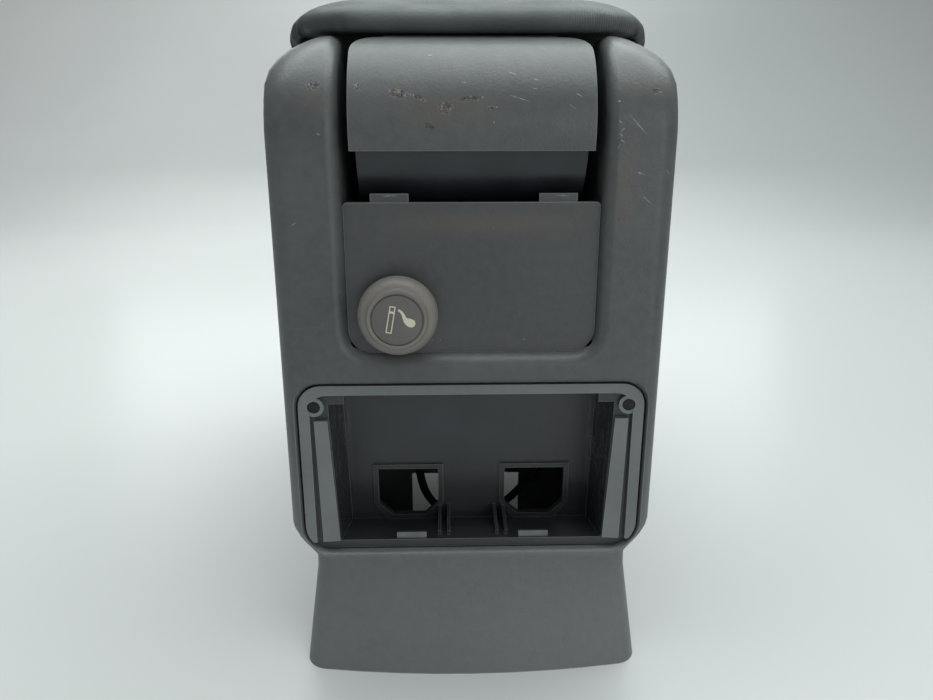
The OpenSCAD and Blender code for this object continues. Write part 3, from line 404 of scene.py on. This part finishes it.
def frame_moulding(name):
    """Smooth ABS of the bay frame: satin rim; a dark hollow, partly its own darker plastic and partly painted
    shade, with painted shadow darker still on the seat at its foot; and polished side walls on which the
    melt's flow still shows."""
    rim_gloss, hollow_gloss, flow_height = 0.42, 0.34, 9.0
    finish, tree, place = started(name, ior=ABS_IOR)
    depth = add(tree, "SeparateXYZ", {"Vector": place}, "Y")
    hollow = add(tree, "MapRange", {VALUE: depth, LOW: REAR_Y + 2.8 * MM, HIGH: REAR_Y + 3.8 * MM})
    across = add(tree, "Math", {A: add(tree, "SeparateXYZ", {"Vector": place}, "X")}, operation="ABSOLUTE")
    deep = add(tree, "MapRange", {VALUE: depth, LOW: REAR_Y + 5 * MM, HIGH: REAR_Y + 7 * MM})
    outer = add(tree, "MapRange", {VALUE: across, LOW: 52.5 * MM, HIGH: 54.5 * MM})
    side = add(tree, "Math", {A: deep, B: outer}, operation="MULTIPLY")
    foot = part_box("bay_frame")[0].z
    height = add(tree, "SeparateXYZ", {"Vector": place}, "Z")
    seat = add(tree, "MapRange", {VALUE: height, LOW: foot + 5 * MM, HIGH: foot + 4.4 * MM})
    rim = mottle(tree, place, 30, linear("#676b6d"), linear("#727678"))
    rim = mottle(tree, place, 2.5, rim, linear("#7f8385"), 0.15)
    # the hollow's colour: its own darker plastic, deepened with painted shade
    inside = mottle(tree, place, 26, linear("#2d3034"), linear("#36393e"))
    colour = add(tree, "Mix", {SHARE: hollow, FROM: rim, TO: inside}, MIXED, data_type="RGBA")
    # painted shadow on the seat at the hollow's foot
    colour = add(tree, "Mix", {SHARE: seat, FROM: colour, TO: linear("#2b3035")}, MIXED, data_type="RGBA")
    # pale edges: painted highlight, partly wear
    colour = edge_highlight_and_wear(tree, colour, "#8d9193", 0.5)
    smear = add(tree, "Mapping", {"Vector": place, "Rotation": (0.35, 0, 0), "Scale": FLOW_STRETCH})
    waves = add(tree, "TexNoise", {"Vector": smear, "Scale": FLOW_WAVES, "Detail": 1.0, "Distortion": 3.0})
    gloss = add(tree, "MapRange", {VALUE: waves, LOW: 0.42, HIGH: 0.56, TO_LOW: 0.08, TO_HIGH: 0.4})
    even = add(tree, "Mix", {SHARE: hollow, FROM_NUMBER: rim_gloss, TO_NUMBER: hollow_gloss})
    rough = add(tree, "Mix", {SHARE: side, FROM_NUMBER: even, TO_NUMBER: gloss})
    relief = add(tree, "Math", {A: waves, B: side}, operation="MULTIPLY")
    relief = add(tree, "Math", {A: relief, B: flow_height}, operation="MULTIPLY")
    finished(tree, colour, rough, grain(tree, place, 1.2, 0.02, relief))
    return finish


def pad_vinyl(name):
    """Foam-backed vinyl: leather grain, a satin sheen on the worn top, and fine stretch lines on the rear
    right corner."""
    finish, tree, place = started(name, ior=1.48)
    colour = mottle(tree, place, 30, linear("#3c4142"), linear("#464b4c"))
    threads = add(tree, "TexWave", {"Vector": place, "Scale": STRETCH_LINES, "Distortion": 2.5,
                                    "Detail": 2.0, "Detail Scale": 1.5},
                  "Fac", wave_type="BANDS", bands_direction="X")
    across = add(tree, "SeparateXYZ", {"Vector": place}, "X")
    along = add(tree, "SeparateXYZ", {"Vector": place}, "Y")
    right = add(tree, "MapRange", {VALUE: across, LOW: 30 * MM, HIGH: 50 * MM})
    behind = add(tree, "MapRange", {VALUE: along, LOW: -85 * MM, HIGH: -105 * MM})
    corner = add(tree, "Math", {A: right, B: behind}, operation="MULTIPLY")
    lines = add(tree, "Math", {A: threads, B: corner}, operation="MULTIPLY")
    pale = add(tree, "Math", {A: lines, B: 0.35}, operation="MULTIPLY")
    colour = add(tree, "Mix", {SHARE: pale, FROM: colour, TO: linear("#7b7f80")}, MIXED, data_type="RGBA")
    worn = add(tree, "TexNoise", {"Vector": place, "Scale": WORN_VINYL, "Detail": 4.0})
    rough = add(tree, "MapRange", {VALUE: worn, LOW: 0.3, HIGH: 0.7, TO_LOW: 0.54, TO_HIGH: 0.66})
    finished(tree, colour, rough, grain(tree, place, 1.3, 0.06, lines))
    return finish


# Marks of use, and veils of painted shade, each as x, z, length and width in mm, and tilt in degrees

HOUSING_SCRATCHES = [
    (59.6, 225.2, 15.6, 0.55, -46), (71.9, 208.2, 4.4, 0.5, -52), (64.4, 198.5, 7.2, 0.5, -43),
    (61.6, 208.0, 4.6, 0.9, -14), (53.2, 226.2, 2.6, 0.7, -35), (54.0, 223.4, 3.4, 0.7, 40),
    (53.6, 221.6, 3.2, 0.6, -38), (54.4, 219.4, 3.0, 0.7, -30), (53.1, 217.6, 2.4, 0.6, 50),
    (52.6, 233.2, 1.8, 1.0, 0), (-55.2, 222.0, 2.6, 0.5, -20), (-66.0, 190.0, 4.0, 0.4, 30)]
HOUSING_SCUFFS = [(-56.6, 238.4, 7.0, 4.0, 10), (66.0, 236.5, 5.0, 2.4, -10)]
# the tall veil on the right pillar's inner edge is a painted brownish reflection
HOUSING_GRIME_AND_SHADE = [(-57.0, 234.0, 16.0, 12.0, -20), (56.0, 205.0, 8.0, 40.0, 0), (62.0, 238.0, 22.0, 8.0, -10)]
BARREL_SCRATCHES = [
    (16.8, 234.2, 11.0, 0.5, -17), (14.6, 242.7, 5.4, 0.5, -18), (22.8, 240.6, 3.2, 0.45, -20),
    (22.5, 237.5, 2.4, 0.6, -5), (38.2, 235.3, 4.2, 0.6, -32), (35.7, 231.4, 4.2, 0.5, -36),
    (7.6, 226.1, 1.1, 1.1, 0), (-15.0, 249.0, 3.4, 0.5, 10), (-3.0, 239.6, 3.0, 0.4, -12)]
BARREL_SCUFFS = [
    (-26.5, 235.8, 9.0, 4.8, -12), (-19.5, 234.4, 8.0, 2.4, -20), (-9.8, 231.0, 7.0, 6.0, -12),
    (-1.0, 234.0, 13.0, 2.6, 6), (-41.0, 238.0, 2.6, 3.8, 70), (-15.6, 224.8, 6.0, 3.0, -14),
    (7.0, 230.8, 5.0, 2.0, 0)]
# brownish veils over the scuffs on the barrel's lower part: grime, and painted shade
BARREL_GRIME_AND_SHADE = [(-10.0, 231.0, 50.0, 12.0, -4), (-14.0, 226.0, 30.0, 6.0, -8)]
PANEL_CRUMBS = [
    (-18.6, 143.2, 1.8, 0.8, 0), (-15.6, 143.0, 1.0, 0.7, 20), (-12.4, 143.1, 0.9, 0.6, 0),
    (20.6, 143.1, 1.3, 0.8, 0), (-31.0, 199.4, 8.0, 0.7, 2), (-22.6, 199.5, 3.0, 0.8, 0),
    (34.0, 199.4, 7.0, 0.6, -2), (8.0, 187.5, 1.0, 0.4, 30)]
# painted shade in a band across the panel's upper part, under the barrel
PANEL_GRIME_AND_SHADE = [(5.0, 189.0, 90.0, 12.0, 0)]


# The finishes, by what the real ones are

# ABS, moulded with an eroded grain: satin charcoal with cloudy polish, scratches and dust;
# pale edges partly painted highlight, brownish veils partly painted shade, its foot painted paler as floor
# light
housing_abs = aged_moulding("grained_abs_charcoal", "#505354", "#65686a", "#484b4c",
                            scratches=HOUSING_SCRATCHES, scuffs=HOUSING_SCUFFS, grime_and_shade=HOUSING_GRIME_AND_SHADE)
# The same ABS where elbows and bags rub: a touch lighter, with crumbly brown scuffs, brownish painted shade
# on its lower part, and pale edges partly painted highlight
barrel_abs = aged_moulding("grained_abs_barrel", "#525556", "#66696a", "#4b4d4e",
                           scratches=BARREL_SCRATCHES, scuffs=BARREL_SCUFFS, grime_and_shade=BARREL_GRIME_AND_SHADE)
# ABS with a finer grain: a flatter, darker face, with pale crumbs along its edges, painted shade in a band
# across its upper part, and pale edges partly painted highlight
panel_abs = aged_moulding("fine_grained_abs_panel", "#484a4c", "#595b5c", "#424446", cell_mm=0.9,
                          depth_mm=0.03, scratches=PANEL_CRUMBS, grime_and_shade=PANEL_GRIME_AND_SHADE)
# Grained ABS that is seldom seen: even and satin, without wear
lid_abs = plain_moulding("grained_abs_lid", "#4b4e50", "#575a5c")
# ABS from a smooth mould with a soft gloss, painted near black as the shade under the barrel
drum_abs_painted_shade = plain_moulding("smooth_abs_drum_painted_shade", "#1f2327", "#272b30", roughness=0.36, cell_mm=1.4,
                          depth_mm=0.015)
# Grained polypropylene: waxy and dull
bin_pp = plain_moulding("grained_polypropylene_bin", "#2c2e30", "#36383a", roughness=0.55)
# Moulded polyamide: hard, black and slightly glossy
dark_pa = plain_moulding("black_polyamide", "#242628", "#2e3032", ior=1.53, roughness=0.4)
# Undyed polyamide: milky cream, smooth from the mould
nylon = plain_moulding("natural_polyamide", "#d6d0c0", "#e2ddcf", ior=1.53, roughness=0.38, depth_mm=0.01)
# Phenolic resin, pressed hot and faded by the sun: warm grey, dry and finely pitted
knob_resin = plain_moulding("moulded_phenolic_knob", "#6c6863", "#807c76", ior=1.6, roughness=0.55,
                            cell_mm=0.7, depth_mm=0.04)
# The disc's moulded face: a shade darker than the knob, with a fine even grain
disc_resin = plain_moulding("moulded_disc", "#605e5c", "#6b6866", roughness=0.5, cell_mm=0.6, depth_mm=0.02)
# Pad-printed ink: a thin matt cream film
ink = plain_moulding("pad_printed_ink", "#cfc9b4", "#dad5c3", roughness=0.6, depth_mm=0.005)
# EPDM rubber: black and matt
rubber = plain_moulding("moulded_epdm_rubber", "#1c1d1e", "#262728", ior=1.52, roughness=0.72,
                        cell_mm=0.8, depth_mm=0.03)
# Zinc-plated steel: pale grey with a cloudy, half-dull shine
zinc = bare_metal("zinc_plated_steel", "#b9bcbd", "#9fa2a2", 0.38)
# Nickel-plated steel: bright and faintly warm
nickel = bare_metal("nickel_plated_steel", "#cfd0ce", "#b8b9b6", 0.24)
# Spring brass: warm yellow, as rolled
brass = bare_metal("spring_brass", "#c9a765", "#b18f4f", 0.3)
# Spring steel that has lost its shine: mid grey, matt
dull_steel = bare_metal("dull_spring_steel", "#8c8e8f", "#7b7d7e", 0.6)
# Phosphated steel: sooty black with a low sheen
phosphate = bare_metal("black_phosphated_steel", "#3a3a3b", "#2a2a2b", 0.5)
# Heating ribbon that has glowed: brown-grey oxide
ribbon = bare_metal("oxidised_heating_ribbon", "#6d5f57", "#4b4340", 0.55)
# ABS from a smooth mould: satin rim round a glossy hollow, dark partly in its own plastic and partly as
# painted shade
frame_abs = frame_moulding("smooth_abs_frame")
# Vinyl over foam: dark leather grain with a satin sheen
vinyl = pad_vinyl("grained_vinyl_over_foam")


# The camera stands behind the console and looks slightly down at its rear face

LENS_MM = 30.87
SENSOR_MM = 36.0
CAMERA_AT = (-0.010, -0.4417, 0.2373)
LOOKS_DOWN = 18.06   # degrees
TURNED_BY = -1.5     # degrees


def make_camera():
    data = bpy.data.cameras.new("camera")
    data.lens = LENS_MM
    data.sensor_width = SENSOR_MM
    data.sensor_fit = "HORIZONTAL"
    data.clip_start = 0.01
    camera = bpy.data.objects.new("camera", data)
    camera.location = CAMERA_AT
    camera.rotation_euler = (math.radians(90 - LOOKS_DOWN), 0, math.radians(TURNED_BY))
    bpy.context.scene.collection.objects.link(camera)
    bpy.context.scene.camera = camera


# The studio, in metres

SHEET_WIDTH = 9
SHEET_FRONT, SHEET_BACK = -5, 1.6      # the floor's edge behind the camera, and the foot of the wall
WALL_LEAN, WALL_HEIGHT = 0.3, 2.2
SWEEP = 0.6                            # radius between the floor and the wall
WORLD_SEEN, WORLD_LIGHT = 0.8, 0.42    # the world's strength for the camera, and as light on the object


def soft_light(name, place, aim, size, watts, tint=(1, 1, 1)):
    data = bpy.data.lights.new(name, "AREA")
    data.color = tint
    data.shape = "RECTANGLE"
    data.size, data.size_y = size
    data.energy = watts
    lamp = bpy.data.objects.new(name, data)
    lamp.location = place
    lamp.rotation_euler = (Vector(aim) - Vector(place)).to_track_quat("-Z", "Y").to_euler()
    bpy.context.scene.collection.objects.link(lamp)


def studio_sheet_finish():
    """Pale card, satin, with painted shade that greys it a little towards the right."""
    finish, tree, place = started("white_studio_sheet", ior=1.45)
    shader = tree.nodes["Principled BSDF"]
    shader.inputs["Roughness"].default_value = 0.3
    across = add(tree, "SeparateXYZ", {"Vector": place}, "X")
    right = add(tree, "MapRange", {VALUE: across, LOW: -0.7, HIGH: 0.7})
    paper = mottle(tree, place, 700, linear("#c3c5c4"), linear("#cdcecd"))
    # painted shade: the card a little greyer towards the right
    paper = add(tree, "Mix", {SHARE: right, FROM: paper, TO: linear("#b1b4b4")}, MIXED, data_type="RGBA")
    tree.links.new(paper, shader.inputs["Base Color"])
    return finish


def at_foot_of_wall(a, b):
    return abs(a.y - SHEET_BACK) < 0.1 and abs(b.y - SHEET_BACK) < 0.1


def make_studio():
    """Pale sheet that runs from the floor up the wall behind, with soft light from above."""
    bpy.ops.mesh.primitive_plane_add(size=1, location=(0, 0, 0))
    sheet = added("studio_sheet")
    for v in sheet.data.vertices:
        v.co.x *= SHEET_WIDTH
        v.co.y = SHEET_BACK if v.co.y > 0 else SHEET_FRONT
    pick_edges(sheet, at_foot_of_wall)
    bpy.ops.mesh.extrude_region_move(TRANSFORM_OT_translate={"value": (0, WALL_LEAN, WALL_HEIGHT)})
    let_go()
    pick_edges(sheet, at_foot_of_wall)
    bpy.ops.mesh.bevel(offset=SWEEP, segments=12, affect="EDGES")
    take(sheet)
    bpy.ops.object.shade_smooth()
    sheet.data.materials.append(studio_sheet_finish())
    soft_light("overhead_soft_light", place=(0.15, 0.2, 1.5), aim=(0, -0.12, 0.2), size=(1.9, 2.1),
               watts=42, tint=(0.93, 1.0, 0.99))
    soft_light("rear_fill", place=(0.8, -1.5, 0.4), aim=(0, -0.1, 0.06), size=(1.2, 0.7),
               watts=5, tint=(1.0, 0.98, 0.96))
    soft_light("low_front_fill", place=(0.0, 1.1, 0.5), aim=(0, 0.1, 0), size=(1.4, 0.5), watts=3)
    world = bpy.data.worlds.new("studio_world")
    bpy.context.scene.world = world
    world.use_nodes = True
    tree = world.node_tree
    back = tree.nodes["Background"]
    back.inputs["Color"].default_value = linear("#dfe2e3")
    seen = add(tree, "LightPath", {}, "Is Camera Ray")
    strength = add(tree, "MapRange", {VALUE: seen, TO_LOW: WORLD_LIGHT, TO_HIGH: WORLD_SEEN})
    tree.links.new(strength, back.inputs["Strength"])


# Pieces

def make_body():
    dressed("console_housing", "console_body", housing_abs, 0, angle=50)


def make_hinge_cover():
    dressed("barrel_cover", "hinge_barrel_cover", barrel_abs, 0.7, steps=3, angle=30)
    # the drum's near-black colour is painted shade under the barrel
    dressed("hinge_shroud", "hinge_drum", drum_abs_painted_shade, 0.4, angle=30)


# The filled cushion's height in mm, by the distance in from its outline in mm
SHOULDER = [(0, 254.7), (0.6, 257.6), (1.6, 260.2), (3.2, 262.3), (5.5, 264.3), (9, 266.5), (14, 268.5),
            (20, 270.0), (27, 271.0), (38, 271.9), (55, 272.6), (72, 272.8)]
PAD_CORNER = 30 * MM                        # radius of the outline's corners, seen from above
FOOT, FOOT_FADE = 0.9 * MM, 1.4 * MM        # the pad's foot keeps its shape, and the filling starts above it
RIDGE_HALF, RIDGE_FADE = 64 * MM, 16 * MM   # the rear ridge's half width, and where it runs out
RIDGE_FRONT = -0.1                          # the ridge lies behind this
RIDGE_RISE, RIDGE_FALL = 4.4, 0.45          # its height in mm at the outline, and what it loses per mm in
BULGE = 0.014                               # share by which the sides swell
FOAM_FRAMES = 12                            # frames of cloth simulation
FOAM_FADE = 8 * MM                          # the foam presses fully from this height above the foot
FOAM_CAP = 0.7 * MM                         # the furthest that it moves a point


def ramp(value, span):
    """0 up to nothing, 1 from span on, and even in between."""
    return min(1, max(0, value / span))


def shoulder(inset):
    """Height in mm of the filled cushion, by the distance in from its outline."""
    for (a, low), (b, high) in zip(SHOULDER, SHOULDER[1:]):
        if inset < b:
            return low + (high - low) * max(inset - a, 0) / (b - a)
    return SHOULDER[-1][1]


def fill(pad, low, high):
    """Lifts the pad's upper faces to the filled cushion, with its ridge at the rear, and swells its sides."""
    half, middle, reach = high.x, (low.y + high.y) / 2, (high.y - low.y) / 2
    normals = [v.normal.copy() for v in pad.data.vertices]
    for v, normal in zip(pad.data.vertices, normals):
        x, y = abs(v.co.x) - half + PAD_CORNER, abs(v.co.y - middle) - reach + PAD_CORNER
        inset = PAD_CORNER - math.hypot(max(x, 0), max(y, 0)) - min(max(x, y), 0)
        out = normal.x * v.co.x * (x > 0) + normal.y * (v.co.y - middle) * (y > 0)
        if normal.z > 0.1 or (normal.z > -0.3 and out > 0):
            share = ramp(v.co.z - low.z - FOOT, FOOT_FADE)
            behind = ramp(RIDGE_HALF - abs(v.co.x), RIDGE_FADE) * (v.co.y < RIDGE_FRONT)
            full = shoulder(inset / MM) + behind * max(0, RIDGE_RISE - RIDGE_FALL * inset / MM)
            v.co.z += share * max(0, full * MM - v.co.z)
            v.co.x *= 1 + BULGE * share


def swell(pad, low):
    """The foam's pressure under the vinyl, by cloth simulation, with its reach capped."""
    start = [v.co.copy() for v in pad.data.vertices]
    cloth = pad.modifiers.new("foam", "CLOTH")
    cloth.settings.use_pressure = True
    cloth.settings.uniform_pressure_force = 4.0
    cloth.settings.effector_weights.gravity = 0.0
    cloth.settings.tension_stiffness = 40
    cloth.settings.compression_stiffness = 40
    scene = bpy.context.scene
    scene.frame_start, scene.frame_end = 1, FOAM_FRAMES
    for step in range(1, FOAM_FRAMES + 1):
        scene.frame_set(step)
    grown = pad.evaluated_get(bpy.context.evaluated_depsgraph_get())
    swollen = [v.co.copy() for v in grown.data.vertices]
    pad.modifiers.remove(cloth)
    scene.frame_set(1)
    for v, a, b in zip(pad.data.vertices, start, swollen):
        move = (b - a) * ramp(a.z - low.z, FOAM_FADE)
        v.co = a + move * min(1, FOAM_CAP / max(move.length, 1e-9))


def make_pad():
    """Armrest pad: the cushion remeshed finely, its shoulders filled by the foam, its vinyl drawn smooth."""
    low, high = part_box("armrest_pad")
    pad = taken("armrest_pad", "armrest_cushion")
    use(pad, "REMESH", mode="VOXEL", voxel_size=1.5 * MM, adaptivity=0.0)
    fill(pad, low, high)
    use(pad, "SMOOTH", iterations=3, factor=0.5)
    swell(pad, low)
    use(pad, "SMOOTH", iterations=3, factor=0.5)
    for v in pad.data.vertices:
        arm = Vector((0, v.co.y - HINGE.y, v.co.z - HINGE.z))
        if arm.length < CLEAR_R:
            v.co.y, v.co.z = (HINGE + arm * (CLEAR_R / arm.length)).yz
    take(pad)
    bpy.ops.object.shade_smooth()
    put(pad, "lid", vinyl, "armrest_pad", slot="pad_vinyl")


def make_knob():
    """The plug's knob: a wide rim at the panel, a rounded side and a recess for the disc."""
    low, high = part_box("lighter_knob")
    length = (high.y - low.y) / MM
    side = [(0.6 + (length - 3.2) * math.sin(a) + 1.0, 11.3 + 4.1 * math.cos(a))
            for a in map(math.radians, range(10, 90, 10))]
    face = [(length - 0.05, 11.3), (length, 10.9), (length, 10.5), (length - 0.25, 10.1),
            (length - 0.9, 10.0), (length - 0.9, 6.0)]
    knob = turned("lighter_knob_cap", high.y, [(0, 14.8), (0.4, 15.4), (1.2, 15.4)] + side + face)
    take(knob)
    bpy.ops.object.shade_smooth_by_angle(angle=math.radians(40))
    put(knob, "lighter_plug", knob_resin, "lighter_knob", slot="knob_plastic")


def make_disc():
    """The disc in the knob's face. Returns the y of its face, for the print."""
    low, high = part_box("knob_disc")
    disc = turned("lighter_disc", high.y, [(0, 9.35), (0.55, 9.55), (0.72, 9.45), (0.8, 9.2)])
    take(disc)
    bpy.ops.object.shade_smooth_by_angle(angle=math.radians(40))
    put(disc, "lighter_plug", disc_resin, "knob_disc", slot="disc_plastic")
    return low.y


INK_DEPTH = 0.06 * MM
STICK_SIZE = (2.3 * MM, 10.6 * MM, 1)
STICK_LINE = 0.42 * MM                       # width of its printed outline
STICK_TIP = 2.9 * MM                         # height of the line across it
STICK_TILT = -10.2                           # degrees
STICK_PLACE = (-2.35 * MM, 0.25 * MM)        # from the lighter's axis, in x and z
# The smoke's outline, from the lighter's axis, in mm
SMOKE = [(0.5, 4.1), (1.9, 3.7), (2.9, 2.3), (3.7, 1.0), (5.2, 0.6), (6.6, -0.2), (6.8, -1.7), (5.7, -2.7),
         (4.1, -2.3), (2.8, -1.0), (2.1, 1.1), (1.5, 2.8)]


def print_stick(face):
    """The outlined half of the pictogram: a plane cut in two, inset, and its middles taken out."""
    bpy.ops.mesh.primitive_plane_add(size=1, location=(0, 0, 0), rotation=(math.radians(90), 0, 0))
    bpy.context.object.scale = STICK_SIZE
    stick = added("pictogram_cigarette")
    pick_edges(stick, lambda a, b: abs(a.x - b.x) < SAME_POINT)
    bpy.ops.mesh.subdivide(number_cuts=1)
    let_go()
    for v in stick.data.vertices:
        if abs(v.co.z) < SAME_POINT:
            v.co.z = STICK_TIP
    edit(stick)
    bpy.ops.mesh.select_all(action="SELECT")
    bpy.ops.mesh.inset(thickness=STICK_LINE, use_individual=True)
    bpy.ops.mesh.delete(type="FACE")
    bpy.ops.mesh.select_all(action="SELECT")
    bpy.ops.mesh.extrude_region_move(TRANSFORM_OT_translate={"value": (0, -INK_DEPTH, 0)})
    bpy.ops.mesh.select_all(action="SELECT")
    bpy.ops.transform.rotate(value=math.radians(STICK_TILT), orient_axis="Y", center_override=(0, 0, 0))
    bpy.ops.transform.translate(value=(LIGHTER.x + STICK_PLACE[0], face, LIGHTER.z + STICK_PLACE[1]))
    put(outward(stick), "lighter_plug", ink, slot="disc_plastic")


def print_smoke(face):
    """The filled half of the pictogram: a closed curve made a mesh."""
    data = bpy.data.curves.new("pictogram_smoke", "CURVE")
    data.dimensions = "2D"
    data.fill_mode = "BOTH"
    data.extrude = INK_DEPTH / 2
    spline = data.splines.new("BEZIER")
    spline.bezier_points.add(len(SMOKE) - 1)
    for point, (x, z) in zip(spline.bezier_points, SMOKE):
        point.co = (x * MM, z * MM, 0)
        point.handle_left_type = point.handle_right_type = "AUTO"
    spline.use_cyclic_u = True
    spline.resolution_u = 5
    smoke = bpy.data.objects.new("pictogram_smoke", data)
    smoke.location = (LIGHTER.x, face - INK_DEPTH / 2, LIGHTER.z)
    smoke.rotation_euler = (math.radians(90), 0, 0)
    bpy.context.scene.collection.objects.link(smoke)
    take(smoke)
    bpy.ops.object.convert(target="MESH")
    put(outward(added("pictogram_smoke")), "lighter_plug", ink, slot="disc_plastic")


def make_lighter():
    make_knob()
    face = make_disc()
    print_stick(face)
    print_smoke(face)


def make_rest():
    """Every other moulding and pressing keeps its CAD shape and gets its mould or sheet radii."""
    plan = [  # node, name, finish, radius in mm
        ("lighter_panel", "lighter_cover_panel", panel_abs, 0.35),
        ("bay_frame", "insert_bay_frame", frame_abs, 0.3),
        ("storage_bin", "bin_tub", bin_pp, 0.5),
        ("bin_mat", "bin_floor_mat", rubber, 0.2),
        ("lid_shell", "lid_underframe", lid_abs, 0.5),
        ("lid_liner", "lid_lining_plate", bin_pp, 0.3),
        ("hinge_bracket", "hinge_bracket_pressing", zinc, 0.3),
        ("lid_arms", "lid_arm_pressings", zinc, 0.3),
        ("fixing_bracket", "tunnel_strap", zinc, 0.4),
        ("bay_spring_clips", "bay_spring_tabs", dull_steel, 0.1),
        ("bump_stops", "lid_bump_strips", rubber, 0.3),
        ("terminal_housing", "terminal_shell", nylon, 0.3),
        ("loom_connector", "loom_plug_shell", nylon, 0.3),
        ("loom_clip", "loom_clip_moulding", dark_pa, 0.2),
        ("terminal_blades", "terminal_tabs", brass, 0.08),
        ("pin_clips", "pin_retaining_clips", zinc, 0.1),
        ("bracket_nuts", "hinge_bolt_nuts", zinc, 0.2),
        ("bracket_bolts", "hinge_bolts", zinc, 0.2),
        ("fixing_screws", "strap_screws", phosphate, 0.2),
        ("liner_screws", "lining_screws", phosphate, 0.15),
        ("panel_screws", "panel_back_screws", phosphate, 0.15),
        ("bay_screws", "bay_frame_screws", phosphate, 0.15),
        ("arm_rivets", "arm_rivet_heads", zinc, 0.2),
        ("arm_washers", "arm_spacer_washers", nylon, 0.1),
        ("wiring_loom", "loom_sleeve", rubber, 0),
        ("hinge_pin", "hinge_pin_rod", nickel, 0.2),
        ("socket_shell", "lighter_socket_shell", nickel, 0.1),
        ("socket_collar", "lighter_socket_collar", dark_pa, 0.15),
        ("socket_contact", "socket_bimetal_clip", brass, 0.08),
        ("socket_insulator", "socket_insulator_disc", nylon, 0.15),
        ("plug_barrel", "plug_sleeve", nickel, 0.15),
        ("element_cup", "element_cup_pressing", nickel, 0.1),
        ("element_coil", "heating_ribbon", ribbon, 0),
    ]
    for node, name, finish, radius in plan:
        dressed(node, name, finish, radius)


make_camera()
make_studio()
make_body()
make_hinge_cover()
make_pad()
make_lighter()
make_rest()

bpy.context.scene.view_settings.view_transform = "Standard"
let_go()
